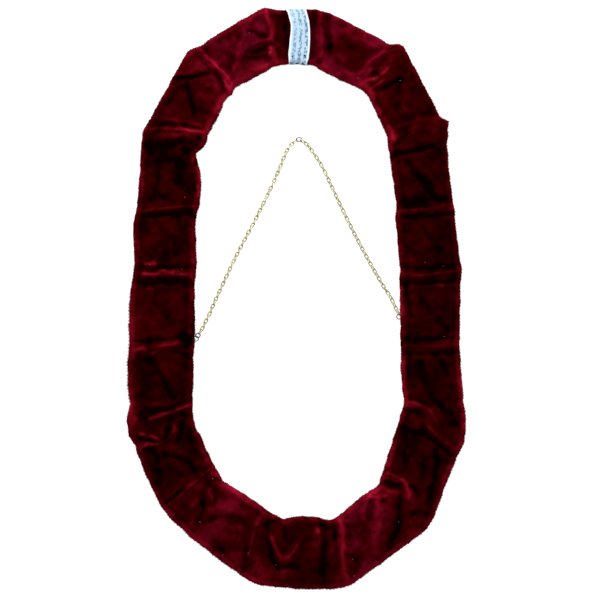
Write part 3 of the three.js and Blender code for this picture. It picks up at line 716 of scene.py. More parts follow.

# %% [markdown]
# Handling brushes the pile, and where it lies the other way the velvet's sheen turns it black or crimson
# with no fold beneath; that sheen is painted into the colour. Many strokes also lie along the folds, as
# painted shade in their valleys and painted highlights on their ridges. Each row of this table is one
# stroke: how much lighter or darker it is painted, how wide in millimetres, and where it runs in the
# picture frame.

# %% Brushed strokes
# change of the level, width in mm, places along the stroke
PILE_AND_SHADE_STROKES = [
    (-0.24, 2.4, [(284, 13), (286, 30), (287, 45), (287, 58)]), (-0.14, 4.0, [(282, 20), (284, 29)]),
    (0.26, 2.6, [(274, 50), (276, 62)]), (0.1, 2.6, [(247, 35), (242, 46), (238, 60), (232, 79)]),
    (-0.16, 2.8, [(248, 33), (262, 37), (270, 37)]), (-0.2, 2.8, [(247, 53), (256, 53), (270, 46)]),
    (-0.14, 2.8, [(245, 59), (256, 60), (269, 60)]), (-0.18, 3.2, [(232, 58), (230, 70), (234, 79)]),
    (-0.24, 2.8, [(205, 47), (207, 55)]), (0.22, 3.6, [(238, 76), (250, 71), (264, 66)]),
    (0.24, 3.2, [(213, 66), (223, 78), (228, 86)]), (-0.26, 2.4, [(175, 80), (190, 79), (208, 75)]),
    (0.14, 1.8, [(180, 75), (195, 71), (207, 67)]), (-0.2, 3.4, [(188, 84), (189, 93), (194, 110)]),
    (-0.22, 3.0, [(168, 104), (174, 97), (179, 91)]), (-0.14, 3.6, [(202, 88), (213, 90)]),
    (-0.3, 2.2, [(216, 72), (221, 81), (225, 92)]), (0.18, 3.0, [(216, 88), (219, 99), (216, 110)]),
    (0.36, 1.2, [(206, 57), (217, 66.5), (226, 76), (233, 85.5)]), (0.26, 2.0, [(226, 83), (229, 92)]),
    (0.26, 1.3, [(265.5, 11), (268, 20), (270.5, 31), (273, 38.5), (277, 46)]),
    (0.3, 1.1, [(266.5, 47), (270.5, 49.5), (271, 55)]), (-0.1, 8.0, [(192, 84), (196, 108)]),
    (-0.08, 6.0, [(238, 36), (250, 44)]), (0.08, 8.0, [(342, 30), (362, 37), (380, 46)]),
    (0.12, 4.5, [(379, 92), (386, 106), (390, 118)]), (0.16, 5.0, [(136, 412), (137, 428), (141, 442)]),
    (-0.3, 2.2, [(407, 218), (425, 217), (440, 216), (453, 213.5)]),
    (0.16, 1.6, [(398, 213), (420, 212.5), (440, 211), (453, 209)]),
    (-0.26, 3.6, [(314, 15), (313, 28)]), (-0.12, 2.4, [(313, 34), (314, 52)]),
    (-0.2, 3.6, [(328, 37), (329, 45)]), (-0.26, 3.0, [(330, 49), (331, 54)]),
    (-0.2, 3.2, [(331, 68), (338, 71)]), (0.24, 2.8, [(324, 66), (340, 72), (356, 79), (370, 90)]),
    (-0.12, 4.0, [(342, 38), (350, 47), (365, 53), (378, 50), (387, 44)]),
    (-0.08, 4.0, [(350, 63), (363, 58)]), (0.1, 6.0, [(348, 34), (364, 38), (378, 40)]),
    (-0.3, 2.4, [(375, 73), (378, 76)]), (0.2, 2.8, [(364, 74), (371, 67)]),
    (0.24, 2.2, [(366, 82), (376, 80), (388, 70)]), (-0.22, 2.2, [(378, 92), (388, 87), (400, 79)]),
    (-0.16, 3.0, [(400, 80), (400, 93), (397, 110)]), (-0.12, 2.8, [(409, 76), (412, 81)]),
    (0.24, 2.8, [(371, 94), (374, 106), (379, 114)]),
    (-0.16, 3.0, [(157, 131), (165, 124), (176, 127), (187, 124)]),
    (0.26, 1.7, [(178, 127), (190, 131), (201, 134)]),
    (0.16, 2.0, [(158, 136), (172, 136), (195, 134)]), (-0.3, 3.2, [(147, 148), (153, 152)]),
    (-0.3, 3.6, [(157, 147), (166, 148), (183, 143)]), (-0.26, 3.2, [(162, 154), (168, 159)]),
    (0.26, 1.4, [(179, 147), (187, 143)]), (-0.2, 2.8, [(185, 149), (190, 154)]),
    (-0.3, 1.8, [(198, 138), (201, 140)]),
    (-0.2, 3.8, [(157, 160), (158, 175), (157, 190), (151, 201)]),
    (-0.2, 3.4, [(180, 164), (180, 186)]), (-0.18, 2.0, [(193, 152), (196, 166), (195, 190)]),
    (0.3, 1.7, [(198, 164), (200, 180), (199, 196)]), (0.1, 3.0, [(144, 150), (142, 175), (143, 196)]),
    (-0.12, 2.4, [(160, 198), (176, 200)]), (0.14, 2.8, [(147, 203), (154, 207)]),
    (-0.22, 2.4, [(159, 216), (168, 214), (179, 217)]), (-0.2, 2.8, [(151, 214), (156, 221)]),
    (-0.34, 2.4, [(189, 211), (194, 218)]), (-0.1, 4.0, [(160, 225), (165, 235), (171, 244)]),
    (0.14, 3.0, [(138, 215), (137, 236), (139, 250)]), (0.5, 2.8, [(147, 264), (154, 265)]),
    (0.42, 2.1, [(144, 275), (153, 275), (161, 272), (172, 272)]),
    (0.22, 2.1, [(172, 273), (185, 276), (195, 277)]),
    (-0.22, 2.3, [(154, 269), (166, 268), (179, 267)]), (-0.3, 2.4, [(141, 285), (151, 286)]),
    (0.36, 1.8, [(149, 288), (152, 289)]), (-0.3, 2.0, [(159, 282), (176, 283)]),
    (-0.24, 2.0, [(184, 284), (195, 285)]), (0.1, 4.4, [(135, 288), (133, 310), (132, 342)]),
    (-0.1, 3.8, [(144, 303), (149, 297)]), (-0.1, 4.0, [(164, 311), (173, 323)]),
    (-0.12, 3.0, [(186, 298), (186, 326)]), (-0.34, 1.9, [(195, 298), (194, 320), (192, 342)]),
    (-0.26, 3.8, [(184, 334), (188, 343)]), (-0.12, 2.8, [(144, 325), (147, 328)]),
    (-0.14, 3.0, [(407, 119), (420, 117), (433, 114)]),
    (0.4, 3.0, [(388, 127), (392, 134), (394, 140)]),
    (-0.24, 2.0, [(395, 144), (401, 139), (409, 135)]), (-0.14, 4.6, [(424, 131), (431, 135)]),
    (0.12, 2.8, [(410, 132), (413, 124)]), (-0.26, 2.8, [(392, 158), (396, 153)]),
    (-0.22, 2.0, [(403, 154), (412, 152), (433, 147)]),
    (-0.2, 3.4, [(407, 164), (418, 178), (428, 188), (435, 198)]),
    (0.12, 3.0, [(414, 161), (428, 175), (438, 189)]), (-0.28, 2.8, [(402, 202), (408, 207)]),
    (-0.2, 1.9, [(415, 199), (416, 205)]), (-0.32, 2.4, [(422, 203), (426, 205)]),
    (-0.22, 2.0, [(434, 200), (446, 199)]), (-0.16, 3.4, [(424, 231), (433, 243), (439, 251)]),
    (-0.26, 2.4, [(404, 265), (406, 269)]), (-0.24, 2.4, [(417, 270), (430, 270), (441, 266)]),
    (-0.24, 2.4, [(448, 269), (453, 269)]), (-0.28, 2.4, [(401, 281), (405, 286)]),
    (-0.22, 2.0, [(417, 284), (436, 283)]), (-0.3, 2.4, [(449, 282), (456, 280)]),
    (0.3, 1.5, [(438, 286), (442, 286)]), (-0.3, 1.9, [(405, 287), (408, 300), (411, 316)]),
    (0.24, 1.9, [(401, 288), (402, 316)]),
    (-0.22, 3.4, [(421, 301), (432, 313), (441, 322), (448, 331)]),
    (-0.2, 2.4, [(407, 339), (420, 340), (443, 337)]), (0.3, 2.4, [(136, 350), (146, 350)]),
    (0.22, 2.7, [(154, 352), (165, 347), (176, 344)]), (-0.28, 3.8, [(181, 337), (189, 343)]),
    (-0.24, 2.8, [(148, 345), (150, 339)]), (-0.1, 2.8, [(139, 356), (151, 358)]),
    (-0.18, 2.8, [(177, 351), (191, 358)]),
    (-0.18, 3.4, [(149, 361), (158, 372), (166, 383), (173, 397)]),
    (0.13, 4.6, [(134, 356), (133, 380), (132, 410)]), (0.14, 3.4, [(133, 418), (134, 432)]),
    (0.14, 2.4, [(154, 405), (165, 405), (175, 404)]),
    (-0.24, 2.4, [(145, 408), (151, 411), (172, 409)]), (-0.28, 2.8, [(139, 414), (147, 421)]),
    (0.3, 1.5, [(149, 421), (156, 416), (166, 413.5), (178, 410), (186, 406.5), (191, 406)]),
    (-0.28, 2.0, [(182, 415), (189, 416)]), (-0.3, 2.6, [(169, 427), (168, 436), (165, 442)]),
    (0.26, 1.6, [(174, 425), (175, 433)]), (-0.3, 2.8, [(183, 426), (181, 436), (179, 441)]),
    (0.2, 1.8, [(179, 440), (172, 446)]), (-0.18, 3.0, [(190, 429), (190, 441)]),
    (0.24, 1.7, [(142, 435), (150, 436), (157, 439)]),
    (-0.26, 1.9, [(140, 440), (148, 440), (155, 442)]),
    (0.3, 1.7, [(141, 449), (148, 445), (157, 444)]), (-0.2, 3.0, [(147, 450), (155, 453), (158, 463)]),
    (-0.2, 3.0, [(164, 455), (178, 458), (190, 462), (199, 478)]),
    (0.12, 3.0, [(174, 452), (190, 457), (206, 463)]),
    (0.18, 3.0, [(196, 434), (203, 450), (212, 464)]),
    (-0.12, 3.8, [(158, 468), (160, 485), (160, 496)]), (-0.2, 2.0, [(204, 471), (211, 465)]),
    (0.16, 1.8, [(175, 491), (184, 486), (191, 483)]),
    (-0.28, 1.9, [(167, 504), (176, 496), (185, 488)]),
    (-0.3, 2.0, [(410, 354), (409, 364), (408, 373)]),
    (-0.26, 2.4, [(434, 355), (443, 353), (453, 354)]), (-0.2, 2.8, [(442, 362), (447, 373)]),
    (-0.2, 3.8, [(420, 363), (425, 380), (430, 392), (439, 404)]),
    (0.16, 3.0, [(462, 368), (463, 400), (465, 426)]),
    (0.26, 2.4, [(403, 362), (404, 386), (406, 398)]),
    (0.28, 2.4, [(405, 403), (410, 406), (417, 406)]), (-0.24, 1.5, [(419, 402), (431, 406)]),
    (-0.34, 2.4, [(441, 407), (445, 411)]), (-0.34, 2.8, [(449, 409), (452, 414), (455, 425)]),
    (-0.28, 2.4, [(413, 411), (419, 413)]), (-0.28, 2.8, [(402, 427), (406, 431)]),
    (-0.34, 2.4, [(413, 431), (420, 434), (426, 431)]), (-0.28, 1.8, [(422, 419), (423, 427)]),
    (0.16, 2.0, [(428, 419), (430, 428), (445, 441)]),
    (-0.3, 2.1, [(431, 439), (440, 446), (452, 456)]), (0.24, 2.4, [(453, 450), (461, 444)]),
    (-0.14, 3.0, [(405, 448), (406, 468)]),
    (-0.34, 3.0, [(436, 450), (436, 470), (432, 485), (428, 502)]),
    (-0.16, 4.0, [(425, 460), (422, 482)]), (0.16, 3.0, [(450, 468), (444, 486), (437, 502)]),
    (0.22, 3.0, [(394, 443), (388, 467)]),
    (0.34, 2.4, [(384, 477), (395, 480), (404, 482), (408, 491), (408, 497)]),
    (-0.26, 2.0, [(386, 482), (392, 486), (397, 484)]), (-0.34, 2.4, [(411, 484), (418, 495)]),
    (0.24, 2.2, [(374, 491), (386, 490.5), (398, 492.5)]),
    (0.26, 1.7, [(370, 497), (378, 496), (386, 496)]), (-0.26, 1.7, [(382, 501), (386, 501)]),
    (-0.16, 2.4, [(371, 502), (374, 507)]), (0.14, 4.0, [(376, 512), (376, 530), (374, 552)]),
    (-0.26, 3.4, [(400, 498), (400, 515), (397, 530), (390, 546)]),
    (0.2, 3.0, [(378, 498), (378, 515), (379, 532)]), (-0.1, 3.8, [(370, 504), (366, 531)]),
    (-0.28, 2.8, [(414, 513), (425, 514)]),
    (0.2, 2.8, [(342, 519), (342, 545), (343, 565), (347, 580)]), (0.2, 2.8, [(339, 520), (347, 521)]),
    (-0.3, 2.8, [(334, 530), (335, 538)]), (-0.24, 2.4, [(350, 527), (350, 536)]),
    (-0.28, 2.0, [(351, 555), (356, 561)]), (-0.2, 2.8, [(351, 574), (356, 568), (361, 559)]),
    (-0.2, 4.6, [(325, 543), (324, 560), (322, 577)]), (-0.3, 2.8, [(320, 523), (328, 527)]),
    (0.42, 1.7, [(316, 529), (318, 532)]), (-0.1, 4.0, [(303, 555), (316, 562)]),
    (-0.26, 2.4, [(206, 477), (210, 486)]), (-0.24, 2.0, [(216, 479), (219, 482)]),
    (0.2, 1.5, [(210, 489), (211, 499)]), (-0.24, 2.4, [(216, 489), (216, 501)]),
    (-0.2, 2.8, [(203, 499), (204, 512), (195, 529)]), (-0.12, 3.8, [(186, 504), (184, 516)]),
    (-0.16, 2.8, [(204, 522), (220, 518), (247, 523)]),
    (0.14, 3.8, [(204, 512), (220, 508), (236, 508)]), (0.2, 3.6, [(224, 486), (240, 494), (258, 507)]),
    (-0.16, 3.4, [(215, 542), (223, 551)]), (-0.3, 3.2, [(246, 549), (247, 558), (244, 569)]),
    (-0.28, 1.9, [(257, 511), (260, 513)]), (0.16, 4.4, [(257, 558), (262, 574)]),
    (-0.26, 2.8, [(264, 524), (272, 522), (281, 520)]), (-0.22, 2.6, [(284, 527), (289, 532)]),
    (0.22, 2.1, [(266, 532), (273, 541), (277, 552), (284, 560), (293, 553)]),
    (-0.28, 2.8, [(270, 544), (272, 558), (277, 567)]),
    (-0.2, 3.8, [(279, 565), (295, 566), (306, 560)]), (0.14, 2.8, [(284, 570), (293, 573)]),
]


def stray(places, size):
    """Places moved by crossed sines of each other, so that what is drawn there wanders by the size."""
    x, y = places[:, 0] / MM, places[:, 1] / MM
    aside = np.sin(y / 2.9 + 1.7 * np.sin(x / 5.3)) + 0.6 * np.sin(y / 1.5 + x / 2.3)
    ahead = np.sin(x / 3.1 + 1.7 * np.sin(y / 4.7)) + 0.6 * np.sin(x / 1.7 - y / 2.1)
    return places + size * np.stack([aside, ahead], 1)


def pile_and_shade_levels(places):
    """The summed painted change of all strokes at places on the table, pile sheen and fold shade
    together: a bell of the distance for each.
    """
    uneven = 1 + 0.3 * np.sin(places[:, 0] / (3.3 * MM)) * np.sin(places[:, 1] / (3.9 * MM))
    places = stray(places, 0.7 * MM)
    total = np.zeros(len(places))
    for amount, wide, through in PILE_AND_SHADE_STROKES:
        run, near = run_on_table(places, 3 * wide * MM, through)
        distance = np.linalg.norm(places[near][:, None, :] - run[None, :, :], axis=2).min(1)
        total[near] += amount * bell(distance, 1.15 * wide * MM)
    return total * uneven


print(len(PILE_AND_SHADE_STROKES), "strokes")

# %% [markdown]
# The cross-section is a flat pad with rolled edges. Over the width, from -1 at the inner edge to 1
# at the outer one, the top is a dome with a very flat crown and a small bead along each edge; the
# underside is flat over the plates and sinks towards the table beyond them, except over the two
# eyes of the thin chain, which it clears.

# %% The cross-section
ROLL_LEVEL, EDGE_DROOP = 4.7 * MM, 1.5 * MM
# height, distance from the edge, and width
BEAD = (0.55 * MM, 3.6 * MM, 2.2 * MM)
GROOVE = (-0.45 * MM, 8.5 * MM, 2.6 * MM)
# distances from the middle line between which the underside sinks past the plates
DROOP_SPAN = (23.5 * MM, 31 * MM)
EYE_PLACES = on_table([(197, 338.5), (399.7, 316.5)])
EYE_CLEARING, EYE_LIFT, CLEARED_SHARE = 7 * MM, 0.9 * MM, 0.85
CROWN_RISE = 0.55
TOP_POWER, UNDER_POWER = 5, 8


def section_heights(across, width, lift, clear):
    """Heights of top and underside: the edge's level, and from it to the crown or the flat the
    root of 1 less a high power of the share across, with the bead and the groove as bells."""
    side = np.abs(across)
    level = ROLL_LEVEL + EYE_LIFT * clear
    crown = UNDERSIDE + PAD * (1 + CROWN_RISE * lift)
    roll = np.sqrt(1 - side**TOP_POWER)
    from_edge = (1 - side) * width
    bead, groove = (height * bell(from_edge - place, wide) for height, place, wide in (BEAD, GROOVE))
    top = level + (crown - level) * roll + (bead + groove) * roll
    past_plate = smoothstep(*DROOP_SPAN, side * width)
    flat = UNDERSIDE - EDGE_DROOP * past_plate * (1 - CLEARED_SHARE * clear)
    under = level - (level - flat) * np.sqrt(1 - side**UNDER_POWER)
    return top, under


# %% [markdown]
# Besides the folds the top has two smaller kinds of relief. Beside each pleat the cloth is
# gathered into short crumples, and everywhere the padding swells and sinks a little. Both are
# sines at places on the table, so they run on over the whole band without a seam.

# %% Crumples and swells
PUCKER, PUCKER_REACH = 0.34 * MM, 26 * MM
# lengths of the crumples, and length and height of the swells, in mm
PUCKER_WAVES = (17, 11, 7.5, 5)
SWELLS = ((46, 0.26), (31, 0.22), (19, 0.17), (12, 0.12), (7.5, 0.07))


def pucker(places):
    """Short crumples beside each pleat: folded sines of a warped distance from its line, under a
    bell of that distance."""
    draws = np.random.default_rng(7)
    total = np.zeros(len(places))
    for first in range(0, len(SECTIONS), 2):
        low, high = section_inner[first : first + 2].mean(0), section_outer[first : first + 2].mean(0)
        pleat_length = np.linalg.norm(high - low)
        along = (high - low) / pleat_length
        offset = places - low
        run = offset @ along
        away = offset @ [-along[1], along[0]]
        beside = (run > -6 * MM) & (run < pleat_length + 6 * MM)
        near = np.flatnonzero((np.abs(away) < PUCKER_REACH) & beside)
        run, away = run[near], away[near]
        waves = np.zeros(len(near))
        for length in PUCKER_WAVES:
            angle, phase = draws.uniform(-0.9, 0.9), draws.uniform(0, 6.28)
            bend = draws.uniform(2, 5) * MM
            warped = away + bend * np.sin(run / (8 * MM) + phase) + run * math.tan(angle) * 0.6
            folded = 1 - 2 * np.abs(np.sin(warped * np.pi / (length * MM) + phase))
            waves += folded * length / PUCKER_WAVES[0]
        patches = 0.55 + 0.45 * np.sin(run / (9 * MM) + draws.uniform(0, 6.28))
        total[near] += PUCKER * waves * (bell(away, 11 * MM) * patches)
    return total


def undulate(places):
    """Slow swells and small dimples: for each length three sines, with drawn directions."""
    draws = np.random.default_rng(18)
    total = np.zeros(len(places))
    for length, height in SWELLS:
        for _ in range(3):
            angle, phase = draws.uniform(0, 2 * np.pi, 2)
            run = places @ [np.cos(angle), np.sin(angle)]
            total += height * MM * np.sin(run * 2 * np.pi / (length * MM) + phase)
    return total * 0.6


print(len(PUCKER_WAVES), "crumples beside each pleat and", 3 * len(SWELLS), "swells")

# %% [markdown]
# The whole surface of the band is one function of two parameters: how far along the band, in
# stations, and how far across it, from edge to edge. The skin asks it for every station, and the
# label later asks it for the strip of places that it covers.

# %% The band's surface
# a distance that puts the eye on the other side of the collar out of reach
FAR_AWAY = 4.0
# the relief is held down over the last seventh of the half width, and folds keep a share there
HOLD_RATE, FOLD_AT_EDGE = 7, 0.35
LOWEST_TOP = ROLL_LEVEL - 0.3 * MM


def at_stations(values, where):
    """Values of the band between its stations: a blend of the two on either side."""
    low = np.floor(where).astype(int)
    part = where - low
    part = part[..., None] if values.ndim > 1 else part
    return values[low % len(stations)] * (1 - part) + values[(low + 1) % len(stations)] * part


def band_points(where, across, is_top):
    """The band's surface at stations (rows) and shares across (columns), with its relief: middle
    line plus share times half width along the outward way, at the section's height plus relief."""
    where = np.broadcast_to(where, (len(where), len(across)))
    width, out = at_stations(half_width, where), at_stations(outward, where)
    plan = at_stations(band_middle, where) + out * (across * width)[..., None]
    other_side = np.sign(plan[..., None, 0]) != np.sign(EYE_PLACES[:, 0])
    gap = np.abs(plan[..., None, 1] - EYE_PLACES[:, 1]) + FAR_AWAY * other_side
    clear = bell(gap, EYE_CLEARING).max(-1)
    top, under = section_heights(across[None, :], width, at_stations(rise, where), clear)
    flat_plan = plan.reshape(-1, 2)
    folds = (fold_heights(flat_plan) + pucker(flat_plan)).reshape(top.shape)
    held = np.clip((1 - np.abs(across)) * HOLD_RATE, 0, 1)[None, :]
    relief = folds * (FOLD_AT_EDGE + (1 - FOLD_AT_EDGE) * held)
    relief = relief + undulate(flat_plan).reshape(top.shape) * held
    height = np.where(is_top[None, :], np.maximum(top + relief, LOWEST_TOP), under)
    return np.concatenate([plan, height[..., None]], -1), np.where(is_top[None, :], relief, 0)


TOP_COUNT, UNDER_COUNT = 74, 13
even = np.linspace(-1, 1, TOP_COUNT)
top_across = 0.5 * even + 0.5 * np.sin(even * np.pi / 2)
under_across = np.sin(np.linspace(1, -1, UNDER_COUNT + 2)[1:-1] * np.pi / 2)
ring_across = np.concatenate([top_across, under_across])
ring_is_top = np.arange(len(ring_across)) < TOP_COUNT
every = np.arange(len(stations), dtype=float)[:, None]
skin_points, skin_relief = band_points(every, ring_across, ring_is_top)


def grid_normals(points, closed):
    """Unit normals of a grid: the cross product of the differences between neighbours both ways,
    turned so that the top faces up."""
    if closed:
        along = np.roll(points, -1, 0) - np.roll(points, 1, 0)
        beside = np.roll(points, -1, 1) - np.roll(points, 1, 1)
    else:
        along, beside = np.gradient(points, axis=0), np.gradient(points, axis=1)
    normal = np.cross(along, beside)
    normal /= np.linalg.norm(normal, axis=2)[..., None] + 1e-12
    top_column = TOP_COUNT // 2 if closed else points.shape[1] // 2
    return normal * np.sign(normal[:, top_column, 2].mean())


plain_points = skin_points - skin_relief[..., None] * [0, 0, 1]
relief_slopes = grid_normals(skin_points, True) - grid_normals(plain_points, True)
print("top of the band", round(skin_points[..., 2].max() / MM, 1), "mm above the table")

# %% [markdown]
# The skin is one closed ring of quads. The real band is velvet over a stiff pad, and the skin takes the
# place of the plain solid, which is hidden. Its points also carry the numbers that the velvet's level is
# made of, most of them painted light and shade. Where the edge rolls over, a painted sheen makes it
# lighter, more in some parts of the ring than in others, with a painted line of shade inside it.

# %% Velvet skin
# the way that a fold's slope has to face, towards the nape lamp, to be painted lighter, and the limits of
# that painted light
SLOPE_LIGHT_WAY, SLOPE_LIGHT_LIMITS = np.array([-0.3, 0.95, 0.0]), (-0.4, 0.5)
CREASE_HEIGHT, UNDERSIDE_LAY = 1.9 * MM, 0.6
EDGE_SHEEN_WIDTH, NAPE_SHARE = 4.4 * MM, 0.55
SHADE_LINE_PLACE, SHADE_LINE_WIDTH, SHADE_LINE_SHARE = 7.5 * MM, 2.2 * MM, 0.3
BAND_SHEEN_PLACE, BAND_SHEEN_WIDTH = 4.5 * MM, 3.2 * MM
# how much painted sheen lies just inside each rolled edge, every 30 degrees around the collar, from 15
# degrees on, counted from the right-hand side towards the nape
RIM_ANGLES = np.arange(15, 375, 30)
BAND_SHEEN_INNER = [0.3, 0.7, -0.2, 0.3, 1.4, 1.1, 0.4, 1.0, 0.5, 0.1, 0.8, -0.1]
BAND_SHEEN_OUTER = [0.2, -0.1, -0.1, 0.8, 0.0, 0.8, 0.6, 0.55, 0.9, 0.1, 0.5, 0.8]


def rim_sheen_levels(from_edge):
    """The painted sheen of the rolled edge: a bell at the edge, less a bell of painted shade inside it,
    plus a share of a bell between them that changes around the collar. The nape's outer edge gets the
    least painted sheen."""
    middle = skin_points[:, TOP_COUNT // 2, :2] / HALF_SPAN
    turn = np.degrees(np.arctan2(middle[:, 1], middle[:, 0]))
    inner = np.interp(turn, RIM_ANGLES, BAND_SHEEN_INNER, period=360)[:, None]
    outer = np.interp(turn, RIM_ANGLES, BAND_SHEEN_OUTER, period=360)[:, None]
    # painted sheen just inside each edge, stronger in some parts of the ring than in others
    opening = np.where(ring_across[None, :] < 0, inner, outer)
    nape = np.clip(np.sin(np.radians(turn)), 0, 1)[:, None] * (ring_across[None, :] > 0)
    levels = (1 - NAPE_SHARE * nape) * bell(from_edge, EDGE_SHEEN_WIDTH)
    levels = levels - SHADE_LINE_SHARE * bell(from_edge - SHADE_LINE_PLACE, SHADE_LINE_WIDTH)
    return levels + opening * bell(from_edge - BAND_SHEEN_PLACE, BAND_SHEEN_WIDTH)


rows, around = skin_points.shape[:2]
skin_faces = grid_faces(rows, around, True, True)[:, ::-1]
skin = new_piece("velvet_skin", skin_points, skin_faces, velvet)
on_top = ring_is_top[None, :]
strokes = pile_and_shade_levels(skin_points[..., :2].reshape(-1, 2)).reshape(rows, around)
# the panels' painted sheen, at a lower share on the underside
add_values(skin, "lay_sheen", np.repeat(lay_sheen[:, None], around, 1) * np.where(on_top, 1, UNDERSIDE_LAY))
# the fold relief, for the painted highlight on ridges and the painted shade in valleys
add_values(skin, "crease", np.where(on_top, np.clip(skin_relief / CREASE_HEIGHT, -1, 1), 0))
# painted pile sheen from the strokes, with painted shade and highlights along the folds
add_values(skin, "brush_and_fold_shade", np.where(on_top, strokes, 0))
# painted light on fold slopes that face the nape lamp
add_values(skin, "nap", np.clip(relief_slopes @ SLOPE_LIGHT_WAY, *SLOPE_LIGHT_LIMITS) * on_top)
# painted sheen along the rolled rims, less a painted line of shade inside them
add_values(skin, "edge", rim_sheen_levels((1 - np.abs(ring_across))[None, :] * half_width[:, None]))
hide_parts("velvet_band")

# %% [markdown]
# The label is a woven strip that wraps the band at the nape and turns under at both edges. It is
# worked out from the skin itself: the skin's stations under the label, lifted by the strip's gap
# and thickness along the normal, so it follows every fold beneath it without cutting in.

# %% The label's shape
LABEL_WIDTH, LABEL_GAP, LABEL_SHEET = 20.5 * MM, 0.25 * MM, 0.55 * MM
# the strip's two long edges in the picture frame, from the outer edge of the band to the inner one
LABEL_LEFT = [(284.6, 9), (287.7, 13.5), (289.4, 20), (290.9, 26), (290.9, 32), (290, 40),
              (289.2, 49), (288.4, 56), (289, 64)]
LABEL_RIGHT = [(306.1, 11), (307.8, 17), (309.2, 23), (310, 32), (310.1, 40), (309.5, 52),
               (308.4, 60), (307, 64)]
# points along the strip's top and along each turned-under end, steps across it, and how far the
# ends reach under, as a share of the band's half width
STRIP_TOP, STRIP_TURN, STRIP_STEPS = 96, 8, 25
TURN_UNDER = 0.17
# where the band counts as the nape: how far up the table, and how far to either side
NAPE_FROM, NAPE_SIDE = 250 * MM, 40 * MM


def stations_at(line, across):
    """Where a line in the frame crosses each share across the band: the station at no distance."""
    line = on_table(line)[::-1]
    near = np.flatnonzero((band_middle[:, 1] > NAPE_FROM) & (np.abs(band_middle[:, 0]) < NAPE_SIDE))
    near = near[np.argsort(band_middle[near, 0])]
    found = []
    for place in across:
        plan = band_middle[near] + outward[near] * place * half_width[near, None]
        beside = plan[:, 0] - np.interp(plan[:, 1], line[:, 1], line[:, 0])
        turned = np.where(near < len(stations) // 2, near + len(stations), near)
        found.append(np.interp(0, beside, turned))
    return np.array(found)


def label_shell():
    """Inner and outer faces of the strip, one row for each step from its left to its right edge:
    the band's surface, moved along its normal by the gap, and by the gap and the cloth."""
    strip_even = np.linspace(-1, 1, STRIP_TOP)
    strip_top = 0.45 * strip_even + 0.55 * np.sin(strip_even * np.pi / 2)
    turn = 1 - np.linspace(0, 1, STRIP_TURN + 1)[1:] ** 2 * TURN_UNDER
    across = np.concatenate([-turn[::-1], strip_top, turn])
    upper = np.repeat([False, True, False], [STRIP_TURN, STRIP_TOP, STRIP_TURN])
    left, right = stations_at(LABEL_LEFT, across), stations_at(LABEL_RIGHT, across)
    step = np.linspace(0, 1, STRIP_STEPS)[:, None]
    points, _ = band_points(left * (1 - step) + right * step, across, upper)
    normal = grid_normals(points, False)
    return points + normal * LABEL_GAP, points + normal * (LABEL_GAP + LABEL_SHEET)


# %% [markdown]
# The label's pattern is woven in: rows of small dashes in a darker blue on a pale blue ground,
# with a plain lighter selvage along both edges. It follows two numbers on each point, the
# distances along and across the strip, so it bends with the cloth. The crossed threads are a fine
# bump, because they are too small to model.

# %% The label's weave
THREAD_SPACING = 0.62 * MM
DASH_ACROSS, DASH_ALONG, DASH_SHARE = 1.3 * MM, 1.4 * MM, 0.58
ROW_SPACING, ROW_PHASE = 5.8 * MM, 0.9
GROUND_BLUE, SELVAGE_BLUE, DASH_BLUE = (0.30, 0.44, 0.56), (0.60, 0.69, 0.80), (0.035, 0.11, 0.22)
THREAD_WHITE, THREAD_SHOW = (0.95, 0.97, 1.0), 0.14


def woven_wave(tree, value, period, phase=0.0):
    """The sine of the distance over the period, in whole turns, plus a phase."""
    turned = math_node(tree, "ADD", product(tree, value, 2 * math.pi / period), phase)
    return math_node(tree, "SINE", turned)


def cell_number(tree, value, size):
    """The whole part of the distance over the cell's size."""
    return math_node(tree, "FLOOR", math_node(tree, "DIVIDE", value, size))


def dash_mask(tree, wide, long, selvage):
    """Where a dash shows: a drawn number for each cell above a limit, in rows, off the selvage,
    and fainter towards the strip's left edge."""
    cells = tree.nodes.new("ShaderNodeCombineXYZ")
    tree.links.new(cell_number(tree, wide, DASH_ACROSS), cells.inputs["X"])
    tree.links.new(cell_number(tree, long, DASH_ALONG), cells.inputs["Y"])
    drawn = tree.nodes.new("ShaderNodeTexWhiteNoise")
    tree.links.new(cells.outputs[0], drawn.inputs["Vector"])
    chosen = math_node(tree, "GREATER_THAN", drawn.outputs["Value"], 1 - DASH_SHARE)
    in_rows = ramp(tree, woven_wave(tree, wide, ROW_SPACING, ROW_PHASE), -0.45, 0.1)
    stronger = ramp(tree, wide, -1.3 * LABEL_WIDTH, 0.3 * LABEL_WIDTH)
    return product(tree, in_rows, chosen, stronger, math_node(tree, "SUBTRACT", 1.0, selvage))


